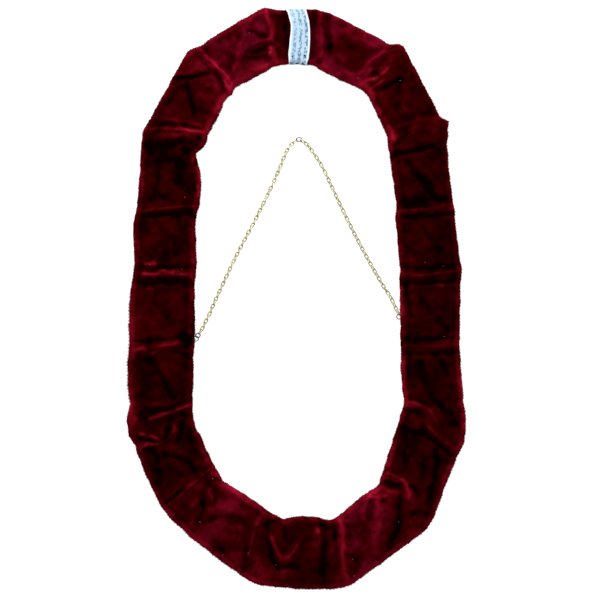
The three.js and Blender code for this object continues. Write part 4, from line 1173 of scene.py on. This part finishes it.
def make_label_cloth():
    """Ground, selvage and dashes mixed by their masks, with the crossed threads as a fine bump."""
    material, tree, shader, _ = new_material(
        "woven_label", Roughness=0.78, Specular_IOR_Level=0.2, Sheen_Weight=0.25, Sheen_Roughness=0.4)
    wide, long = read_value(tree, "label_across"), read_value(tree, "label_along")
    weave = product(tree, *(woven_wave(tree, value, THREAD_SPACING) for value in (wide, long)))
    from_middle = math_node(tree, "ABSOLUTE", wide)
    selvage = ramp(tree, from_middle, LABEL_WIDTH * 0.39, LABEL_WIDTH * 0.45)
    ground = mix_colour(tree, selvage, GROUND_BLUE, SELVAGE_BLUE)
    colour = mix_colour(tree, dash_mask(tree, wide, long, selvage), ground, DASH_BLUE)
    raised = product(tree, ramp(tree, weave, -1.0, 1.0), THREAD_SHOW)
    tree.links.new(mix_colour(tree, raised, colour, THREAD_WHITE), shader.inputs["Base Color"])
    bump = tree.nodes.new("ShaderNodeBump")
    bump.inputs["Strength"].default_value = 0.5
    bump.inputs["Distance"].default_value = 0.2 * MM
    tree.links.new(weave, bump.inputs["Height"])
    tree.links.new(bump.outputs["Normal"], shader.inputs["Normal"])
    return material


# %% [markdown]
# Both faces of the strip and the narrow caps at its long edges make one closed shell. It is held
# stretched by its stitches, and rests on the skin.

# %% The label in place
label_inner, label_outer = label_shell()
strip_rows, strip_columns = label_outer.shape[:2]
shell = np.concatenate([label_outer, label_inner[:, ::-1]], 1)
label_faces = grid_faces(strip_rows, 2 * strip_columns, False, True)
cap = np.arange(strip_columns - 1)
opposite = 2 * strip_columns - 1 - cap
near_cap = np.stack([cap, cap + 1, opposite - 1, opposite], 1)
far_cap = near_cap[:, ::-1] + (strip_rows - 1) * 2 * strip_columns
label_faces = np.vstack([label_faces, near_cap, far_cap])
label = new_piece("label_strip", shell, label_faces, make_label_cloth())
strip_run = distance_run(label_outer[strip_rows // 2])
across_run = np.linspace(-0.5, 0.5, strip_rows) * LABEL_WIDTH
add_values(label, "label_along", np.tile(np.concatenate([strip_run, strip_run[::-1]]), strip_rows))
add_values(label, "label_across", np.repeat(across_run, 2 * strip_columns))
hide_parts("label")
print("label flat length", round(strip_run[-1] * 1000, 1), "mm")

# %% [markdown]
# Chain, rings and plates are plated brass, and one recipe serves them all. They differ in colour,
# roughness and the size of their blotches: the chain is dull from wear, and its darker blotches are
# partly wear and partly painted reflections of the dark velvet round it; the plates are polished, and the
# ring at the chain's left end is dark.

# %% Gold finishes
TARNISH_COLOUR = (0.17, 0.14, 0.10)


def make_metal(name, colour, wear_and_reflection_shade, rough, scale):
    """Plated brass: blotches of a darker colour, which are rougher too, and stand for wear and, on the
    chain, also for painted dark reflections of the velvet; tarnish where the points carry it, and a very
    fine grain."""
    material, tree, shader, place = new_material(name, Metallic=1.0)
    blotch = use_group(tree, MOTTLE, place, Size=scale).outputs["Mask"]
    grain = use_group(tree, GRAIN, place, Scale=2600.0, Height=0.00004, Strength=0.35)
    plated = mix_colour(tree, product(tree, blotch, 0.7), colour, wear_and_reflection_shade)
    tarnished = mix_colour(tree, read_value(tree, "tarnish"), plated, TARNISH_COLOUR)
    tree.links.new(tarnished, shader.inputs["Base Color"])
    tree.links.new(math_node(tree, "ADD", product(tree, blotch, 0.14), rough), shader.inputs["Roughness"])
    tree.links.new(grain.outputs["Normal"], shader.inputs["Normal"])
    return material


# colour, darker colour of the blotches (wear, and on the chain also painted dark reflections), roughness,
# size of the blotches
METALS = {
    "chain_gold": ((0.54, 0.51, 0.29), (0.31, 0.29, 0.155), 0.38, 4 * MM),
    "ring_brass": ((0.17, 0.15, 0.125), (0.085, 0.075, 0.065), 0.36, 3 * MM),
    "gilt_brass": ((0.83, 0.60, 0.25), (0.55, 0.36, 0.13), 0.2, 20 * MM),
    "tarnished_brass": ((0.05, 0.037, 0.022), (0.025, 0.019, 0.012), 0.32, 3 * MM),
}
metals = {name: make_metal(name, *values) for name, values in METALS.items()}
print(len(metals), "metals")

# %% [markdown]
# The thin chain is a common cable chain: oval links of round wire, each through the next. Every
# second link lies flat, and the ones between lean over, as in a chain that rests on a table. One
# link is a small ring surface, and all places are computed together, so a leg is one mesh of
# about fifty copies that interlock.

# %% Links, and their places along a leg
LINK_LENGTH, LINK_WIDTH, LINK_WIRE = 6.95 * MM, 4.3 * MM, 1.2 * MM
RING_WIRE = 1.1 * MM
CHAIN_LEVEL, FLAT_LINK_DROP = 2.2 * MM, 0.25 * MM
LINK_PLAY = 0.15 * MM
LINK_LEAN, LINK_SWAY = math.radians(62), 0.13
APEX_SIZE = (6.8 * MM, 5.2 * MM)
EYE_DIAMETER = END_DIAMETER = 6.4 * MM
END_TILT = math.radians(38)
LINK_GRID, RING_GRID = (22, 8), (40, 14)


def oval_points(length, width, wire, segments, sides):
    """A ring of round wire: a circle of radius half the width less the wire, whose two halves are
    pulled apart by the length less the width, with a small circle of the wire at each place."""
    turn = (np.arange(segments) + 0.5) * 2 * np.pi / segments
    roll = np.arange(sides) * 2 * np.pi / sides
    radius = (width - wire) / 2
    reach = radius + wire / 2 * np.cos(roll)[None, :]
    x = np.cos(turn)[:, None] * reach + np.sign(np.cos(turn))[:, None] * (length - width) / 2
    y = np.sin(turn)[:, None] * reach
    z = np.broadcast_to(wire / 2 * np.sin(roll)[None, :], x.shape)
    return np.stack([x, y, z], -1).reshape(-1, 3)


# places along each leg, as shares of half the opening, from the apex ring to the far end
ROUTES = {
    "left": [(-0.041, 0.682), (-0.09, 0.654), (-0.123, 0.621), (-0.222, 0.511), (-0.39, 0.349),
             (-0.57, 0.19), (-0.763, -0.001), (-0.824, -0.067), (-0.863, -0.104), (-0.891, -0.131)],
    "right": [(0.08, 0.681), (0.132, 0.654), (0.178, 0.623), (0.258, 0.559), (0.426, 0.392),
              (0.607, 0.224), (0.795, 0.067), (0.879, 0.006), (0.926, -0.04)],
}
APEX = np.array([0.018, 0.697]) * HALF_OPENING + OUTLINE_SHIFT
RIGHT_EYE = (399.75, 316.6)


def link_places(side, far_ring, far_radius):
    """Even places along a leg, and the way ahead at each: from one link's reach past the apex ring
    to one link's reach before the far ring, with an odd number of links between."""
    chosen = np.array(ROUTES[side]) * HALF_OPENING + OUTLINE_SHIFT
    route = smooth_run(np.vstack([APEX, chosen, far_ring]), 0.4 * MM, 3)
    run = distance_run(route)
    to_link = (LINK_LENGTH - LINK_WIRE) / 2 - (LINK_WIRE + RING_WIRE) / 2
    start = (APEX_SIZE[0] - RING_WIRE) / 2 + to_link
    end = run[-1] - far_radius - to_link
    pitch = LINK_LENGTH - 2 * LINK_WIRE - LINK_PLAY
    count = 2 * int(round((end - start) / pitch / 2)) + 1
    at = np.linspace(start, end, count)
    middle = np.stack([np.interp(at, run, route[:, axis]) for axis in (0, 1)], 1)
    ahead = np.stack([np.interp(at + 1 * MM, run, route[:, axis]) for axis in (0, 1)], 1)
    heading = ahead - middle
    print(side, "leg", count, "links, pitch", round((at[1] - at[0]) * 1000, 2), "mm")
    return middle, heading / np.linalg.norm(heading, axis=1)[:, None]


def chain_leg(side, far_ring, far_radius):
    """All links of a leg: each point of one link, carried along, across and through its place."""
    middle, heading = link_places(side, far_ring, far_radius)
    count = len(middle)
    draws = np.random.default_rng(len(side))
    leaning = np.arange(count) % 2 == 0
    roll = np.where(leaning, LINK_LEAN, 0) + draws.normal(0, LINK_SWAY, count)
    level = np.where(leaning, CHAIN_LEVEL, CHAIN_LEVEL - FLAT_LINK_DROP)
    along = np.column_stack([heading, np.zeros(count)])
    flat = np.column_stack([-heading[:, 1], heading[:, 0], np.zeros(count)])
    up = np.array([0, 0, 1.0])
    across = flat * np.cos(roll)[:, None] + up * np.sin(roll)[:, None]
    through = np.cross(along, across)
    link = oval_points(LINK_LENGTH, LINK_WIDTH, LINK_WIRE, *LINK_GRID)
    points = (along[:, None] * link[None, :, :1] + across[:, None] * link[None, :, 1:2]
              + through[:, None] * link[None, :, 2:]) + np.column_stack([middle, level])[:, None]
    points[..., 2] = np.maximum(points[..., 2], 0)
    return points, copied_faces(grid_faces(*LINK_GRID, True, True), len(link), count)


# %% [markdown]
# Both legs meet in one ring at the top of their inverted V, and the left one ends in a darker
# ring, tilted as the pull of the leg leaves it. The rings are the same surface as a link, with
# more points, because each is seen on its own.

# %% The chain and its rings in place


def turned_about(points, axis, angle):
    """Points turned about an axis (0, 1 or 2): the other two change by cosine and sine."""
    first, second = (axis + 1) % 3, (axis + 2) % 3
    turned = points.copy()
    turned[:, first] = points[:, first] * math.cos(angle) - points[:, second] * math.sin(angle)
    turned[:, second] = points[:, first] * math.sin(angle) + points[:, second] * math.cos(angle)
    return turned


def ring_piece(name, node, size, place, material, tilt=0.0, heading=0.0):
    """A ring of round wire, tilted about its length and then turned to its heading."""
    points = turned_about(oval_points(*size, RING_WIRE, *RING_GRID), 0, tilt)
    points = turned_about(points, 2, heading) + place
    piece = new_piece(name, points, grid_faces(*RING_GRID, True, True), material)
    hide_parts(node)


end_ring_low, end_ring_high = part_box("end_ring_left")
end_ring_place = np.array((end_ring_low + end_ring_high) / 2)[:2]
ring_radius = (EYE_DIAMETER - RING_WIRE) / 2
left_last = np.array(ROUTES["left"][-1]) * HALF_OPENING + OUTLINE_SHIFT
end_heading = math.atan2(*(left_last - end_ring_place)[::-1])
right_eye = on_table(RIGHT_EYE)
for side, far in (("left", end_ring_place), ("right", right_eye)):
    leg_points, leg_faces = chain_leg(side, far, ring_radius)
    leg = new_piece(f"thin_chain_{side}", leg_points, leg_faces, metals["chain_gold"])
    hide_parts(f"chain_{side}")
ring_piece("chain_apex_ring", "apex_ring", APEX_SIZE, (*APEX, CHAIN_LEVEL),
           metals["ring_brass"])
ring_piece("chain_end_ring", "end_ring_left", (END_DIAMETER, END_DIAMETER),
           (*end_ring_place, CHAIN_LEVEL), metals["tarnished_brass"], END_TILT, end_heading)

# %% [markdown]
# The plates and the links that join them carry over from the frame. Their solids are right, so
# each is copied, its loose triangles are merged into clean faces, and a small bevel rounds its
# arrises as stamping and polishing do.

# %% Gilt plates and their links
PLATE_COUNT = 18
BEVEL_WIDTH, BEVEL_ANGLE = 0.35 * MM, math.radians(28)
MERGE_DISTANCE, FLAT_ANGLE = 0.002 * MM, math.radians(1)
# distances from an eye between which its dark tarnish fades out
EYE_TARNISH = (4.5 * MM, 6 * MM)


def clean_copy(node, material):
    """A copy of a solid's mesh with its doubles merged and its flat faces joined."""
    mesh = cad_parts[node].data.copy()
    work = bmesh.new()
    work.from_mesh(mesh)
    bmesh.ops.remove_doubles(work, verts=work.verts, dist=MERGE_DISTANCE)
    bmesh.ops.dissolve_limit(work, angle_limit=FLAT_ANGLE, verts=work.verts, edges=work.edges)
    work.to_mesh(mesh)
    work.free()
    mesh.materials.clear()
    mesh.materials.append(material)
    piece = bpy.data.objects.new(f"gilt_{node}", mesh)
    bpy.context.scene.collection.objects.link(piece)
    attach(piece, "root")
    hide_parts(node)
    return piece


def distance_from_eyes(piece):
    """How far each point of a piece is from the nearer eye, seen from above."""
    places = np.empty(3 * len(piece.data.vertices), np.float32)
    piece.data.vertices.foreach_get("co", places)
    gaps = places.reshape(-1, 3)[:, None, :2].astype(float) - EYE_PLACES
    return np.linalg.norm(gaps, axis=2).min(1)


for number in range(1, PLATE_COUNT + 1):
    plate = clean_copy(f"plate_{number:02d}", metals["gilt_brass"])
    add_values(plate, "tarnish", 1 - smoothstep(*EYE_TARNISH, distance_from_eyes(plate)))
    bevel = plate.modifiers.new("rounded_arrises", "BEVEL")
    bevel.width, bevel.segments, bevel.limit_method = BEVEL_WIDTH, 2, "ANGLE"
    bevel.angle_limit = BEVEL_ANGLE
    link = clean_copy(f"link_{number:02d}", metals["gilt_brass"])
    round_wire = link.modifiers.new("round_wire", "SUBSURF")
    round_wire.levels = round_wire.render_levels = 2
print(PLATE_COUNT, "plates and as many links")

# %% [markdown]
# Tacking stitches hold the velvet to the plates: a short grey thread shows at the corners of most
# stretches. Each is a small bent bead of thread, half sunk in the pile, and all are one mesh.
# Thicker stitches of nearly black thread hold the label near its lower edge.

# %% Stitches
# places in the picture frame
TACKS = [
    (400, 81.5), (373, 80), (358, 79), (185, 198), (182, 269.5), (150, 265), (425, 263), (443, 266.5),
    (444, 337), (200, 522), (222.5, 555), (248.5, 553), (276, 565), (213, 479), (352.5, 559),
    (354, 576), (398.5, 522.5), (249.5, 34), (270, 54),
]
LABEL_STITCHES = [(290.8, 64), (296.9, 64.4), (302.6, 64.6), (292.6, 57.6), (305, 56.8)]
TACK_LENGTHS, TACK_THICK, TACK_RISE = (1.0, 1.7), 0.7 * MM, 0.15 * MM
HEM_LENGTH, HEM_THICK, HEM_RISE = 2.3 * MM, 1.5 * MM, 0.1 * MM
NEAR_LABEL = 1.5 * MM


def surface_level(places):
    """Height of the skin's top over each place: that of its nearest point."""
    upper = skin_points[:, :TOP_COUNT].reshape(-1, 3)
    closest = [np.argmin(((upper[:, :2] - place) ** 2).sum(1)) for place in places]
    return upper[closest, 2]


def label_level(places):
    """Height of the label's top over each place: the highest of its points near by."""
    points = label_outer.reshape(-1, 3)
    near = np.linalg.norm(points[None, :, :2] - places[:, None], axis=2) < NEAR_LABEL
    return np.where(near, points[None, :, 2], 0).max(axis=1)


def stitch_mesh(places, lengths, turns, levels, thick):
    """Bent beads: an ellipsoid of the length and the thickness for each place, turned about its
    upright and bowed down by a share of the squared distance from its middle."""
    bands, spokes = 9, 8
    polar = np.linspace(0.12, np.pi - 0.12, bands)[:, None]
    spin = (np.arange(spokes) * 2 * np.pi / spokes)[None, :]
    x = np.cos(polar) * np.ones_like(spin)
    y, z = np.sin(polar) * np.cos(spin), np.sin(polar) * np.sin(spin)
    one = np.stack([x, y, z], -1).reshape(-1, 3)
    half_thick = np.full_like(lengths, thick / 2)
    points = one[None] * np.stack([lengths / 2, half_thick, half_thick], 1)[:, None]
    points[..., 2] -= 0.35 * thick * one[None, :, 0] ** 2
    cos, sin = np.cos(turns)[:, None], np.sin(turns)[:, None]
    turned_x = points[..., 0] * cos - points[..., 1] * sin
    turned_y = points[..., 0] * sin + points[..., 1] * cos
    beads = np.stack([turned_x, turned_y, points[..., 2]], -1)
    beads += np.column_stack([places, levels])[:, None]
    caps = [[0, k, k + 1, k + 2] for k in (1, 3, 5)]
    far_caps = (np.array(caps) + (bands - 1) * spokes)[:, ::-1]
    one_bead = np.vstack([grid_faces(bands, spokes, False, True), caps, far_caps])
    return beads, copied_faces(one_bead, bands * spokes, len(places))


def make_thread(name, colour, lit):
    """Dull spun thread: its colour drifts to the lit one with the grain, which also bumps it."""
    material, tree, shader, place = new_material(name, Roughness=0.9, Specular_IOR_Level=0.05)
    twist = use_group(tree, GRAIN, place, Scale=3200.0, Height=0.0001, Strength=0.6)
    tree.links.new(mix_colour(tree, twist.outputs["Mask"], colour, lit), shader.inputs["Base Color"])
    tree.links.new(twist.outputs["Normal"], shader.inputs["Normal"])
    return material


tack_thread = make_thread("tack_thread", (0.045, 0.04, 0.045), (0.13, 0.12, 0.13))
label_thread = make_thread("label_thread", (0.008, 0.005, 0.012), (0.02, 0.012, 0.03))
draws = np.random.default_rng(5)
tack_places = on_table(TACKS)
tacks, tack_faces = stitch_mesh(
    tack_places, draws.uniform(*TACK_LENGTHS, len(TACKS)) * MM, draws.uniform(0, np.pi, len(TACKS)),
    surface_level(tack_places) + TACK_RISE, TACK_THICK)
new_piece("tacking_stitches", tacks, tack_faces, tack_thread)
hem_places = on_table(LABEL_STITCHES)
hems, hem_faces = stitch_mesh(
    hem_places, np.full(len(LABEL_STITCHES), HEM_LENGTH), draws.uniform(-0.3, 0.3, len(LABEL_STITCHES)),
    label_level(hem_places) + HEM_RISE, HEM_THICK)
new_piece("label_stitches", hems, hem_faces, label_thread)

# %% [markdown]
# The pile stands out past the rolled edges, which makes the outline furry instead of sharp. It is
# drawn as many short flat tufts along both edges, each a thin tapering blade with a seeded lean.
# Their length swells and falls along the edge, because worn pile stands in clumps. Along the
# middle of the left side it has been pressed into a row of small teeth.

# %% Pile along the edges
PILE_LENGTH = 1.5 * MM
CLUMP, TOOTH = 3.1 * MM, 3.5 * MM
# the stretch with teeth, from its lower to its upper end, and how gently it begins
TEETH_SPAN = on_table([(128, 416), (128, 288)])[:, 1]
TEETH_FADE = 12 * MM
BLADE_WIDTH, BLADE_ROOT = 0.22 * MM, 0.5 * MM
INNER_TUFTS, OUTER_TUFTS = 9, 11


def edge_tufts(edge, sign, per_station, seed):
    """Blades of two points at the root, just inside the skin's edge, and two at the narrow tip:
    root plus length times the outward way, turned by the blade's own lean."""
    draws = np.random.default_rng(seed)
    count = len(edge) * per_station
    at = np.repeat(np.arange(len(edge)), per_station) + draws.uniform(0, 1, count)
    low, high, mix = at.astype(int) % len(edge), (at.astype(int) + 1) % len(edge), (at % 1)[:, None]
    root = edge[low] * (1 - mix) + edge[high] * mix
    out = outward[low] * sign
    combed = smoothstep(0, TEETH_FADE, TEETH_SPAN[1] - root[:, 1])
    combed *= smoothstep(0, TEETH_FADE, root[:, 1] - TEETH_SPAN[0])
    combed *= (root[:, 0] < 0) * (sign > 0)
    lean = draws.normal(0, 0.5, count) * (1 - 0.7 * combed)
    cos, sin = np.cos(lean), np.sin(lean)
    turned = np.stack([out[:, 0] * cos - out[:, 1] * sin, out[:, 0] * sin + out[:, 1] * cos], 1)
    clump = 0.55 + 0.45 * np.sin(at * ALONG_STEP * 2 * np.pi / CLUMP + 2 * np.sin(at / 17))
    teeth = 0.1 + 0.9 * np.abs(np.sin(at * ALONG_STEP * np.pi / TOOTH))
    reach = draws.uniform(0.3, 1.0, count) * clump * (1 - combed)
    reach += draws.uniform(1.0, 1.2, count) * teeth * combed
    level = ROLL_LEVEL + draws.normal(0, 0.9, count) * MM
    side = np.stack([-turned[:, 1], turned[:, 0]], 1) * BLADE_WIDTH / 2
    inset = root - out * BLADE_ROOT
    tip = root + turned * (PILE_LENGTH * reach)[:, None]
    tip_level = level + 0.1 * MM
    corners = ((inset - side, level), (inset + side, level),
               (tip + side * 0.3, tip_level), (tip - side * 0.3, tip_level))
    points = np.stack([np.column_stack([plan, height]) for plan, height in corners], 1)
    return points.reshape(-1, 3), np.arange(4 * count).reshape(-1, 4)


inner_tufts, inner_quads = edge_tufts(edge_inner, -1, INNER_TUFTS, 31)
outer_tufts, outer_quads = edge_tufts(edge_outer, 1, OUTER_TUFTS, 32)
tuft_quads = np.vstack([inner_quads, outer_quads + len(inner_tufts)])
pile = new_piece("edge_pile", np.vstack([inner_tufts, outer_tufts]), tuft_quads, velvet)
# the tufts take a middle painted pile sheen and the full painted sheen of the rim
for name, value in (("lay_sheen", 0.3), ("crease", 0.0), ("nap", 0.0), ("brush_and_fold_shade", 0.0), ("edge", 1.0)):
    add_values(pile, name, np.full(len(pile.data.vertices), value))

# %% [markdown]
# The table is a light table: its white glass glows, so the collar's shadow on it is only a trace.
# A soft panel from the nape's side rakes across the velvet under a dimmer white sky, so each pleat
# shows a lit ridge above a dark valley.

# %% Table and light
FLOOR_SIZE = 24.0
FLOOR_GLOW, SKY_STRENGTH = 0.99, 0.36
FLOOR_GREY, FLOOR_PALE = (0.16, 0.16, 0.16), (0.2, 0.2, 0.2)
WHITE = (1.0, 1.0, 1.0, 1.0)
# name, place, size in metres, power in watts
PANELS = (
    ("nape_panel", (-0.35, 1.2, 1.5), 0.6, 56.0),
    ("breast_panel", (1.1, -1.2, 1.3), 1.2, 8.0),
)


def make_floor():
    """One large square at the table's height, which glows nearly white under a faint mottle."""
    material, tree, shader, place = new_material("white_table", Roughness=0.9, Specular_IOR_Level=0.1)
    faint = use_group(tree, MOTTLE, place, Size=0.4).outputs["Mask"]
    tree.links.new(mix_colour(tree, faint, FLOOR_GREY, FLOOR_PALE), shader.inputs["Base Color"])
    shader.inputs["Emission Color"].default_value = WHITE
    shader.inputs["Emission Strength"].default_value = FLOOR_GLOW
    half = FLOOR_SIZE / 2
    corners = [(-half, -half, 0), (half, -half, 0), (half, half, 0), (-half, half, 0)]
    mesh = bpy.data.meshes.new("table")
    mesh.from_pydata(corners, [], [(0, 1, 2, 3)])
    mesh.materials.append(material)
    table = bpy.data.objects.new("table", mesh)
    bpy.context.scene.collection.objects.link(table)


def add_panel(name, place, size, power):
    """A square lamp at a place, turned so that it shines at the middle of the table."""
    light = bpy.data.lights.new(name, "AREA")
    light.energy, light.size = power, size
    lamp = bpy.data.objects.new(name, light)
    bpy.context.scene.collection.objects.link(lamp)
    lamp.location = place
    lamp.rotation_euler = (-lamp.location).to_track_quat("-Z", "Y").to_euler()


make_floor()
world = bpy.data.worlds.new("studio")
world.use_nodes = True
sky = world.node_tree.nodes["Background"]
sky.inputs["Color"].default_value = WHITE
sky.inputs["Strength"].default_value = SKY_STRENGTH
bpy.context.scene.world = world
for panel in PANELS:
    add_panel(*panel)
view = bpy.context.scene.view_settings
view.view_transform = "Standard"
view.look = "None"
print(len(PANELS), "panels over the table")

# %% The end
bpy.context.view_layer.update()
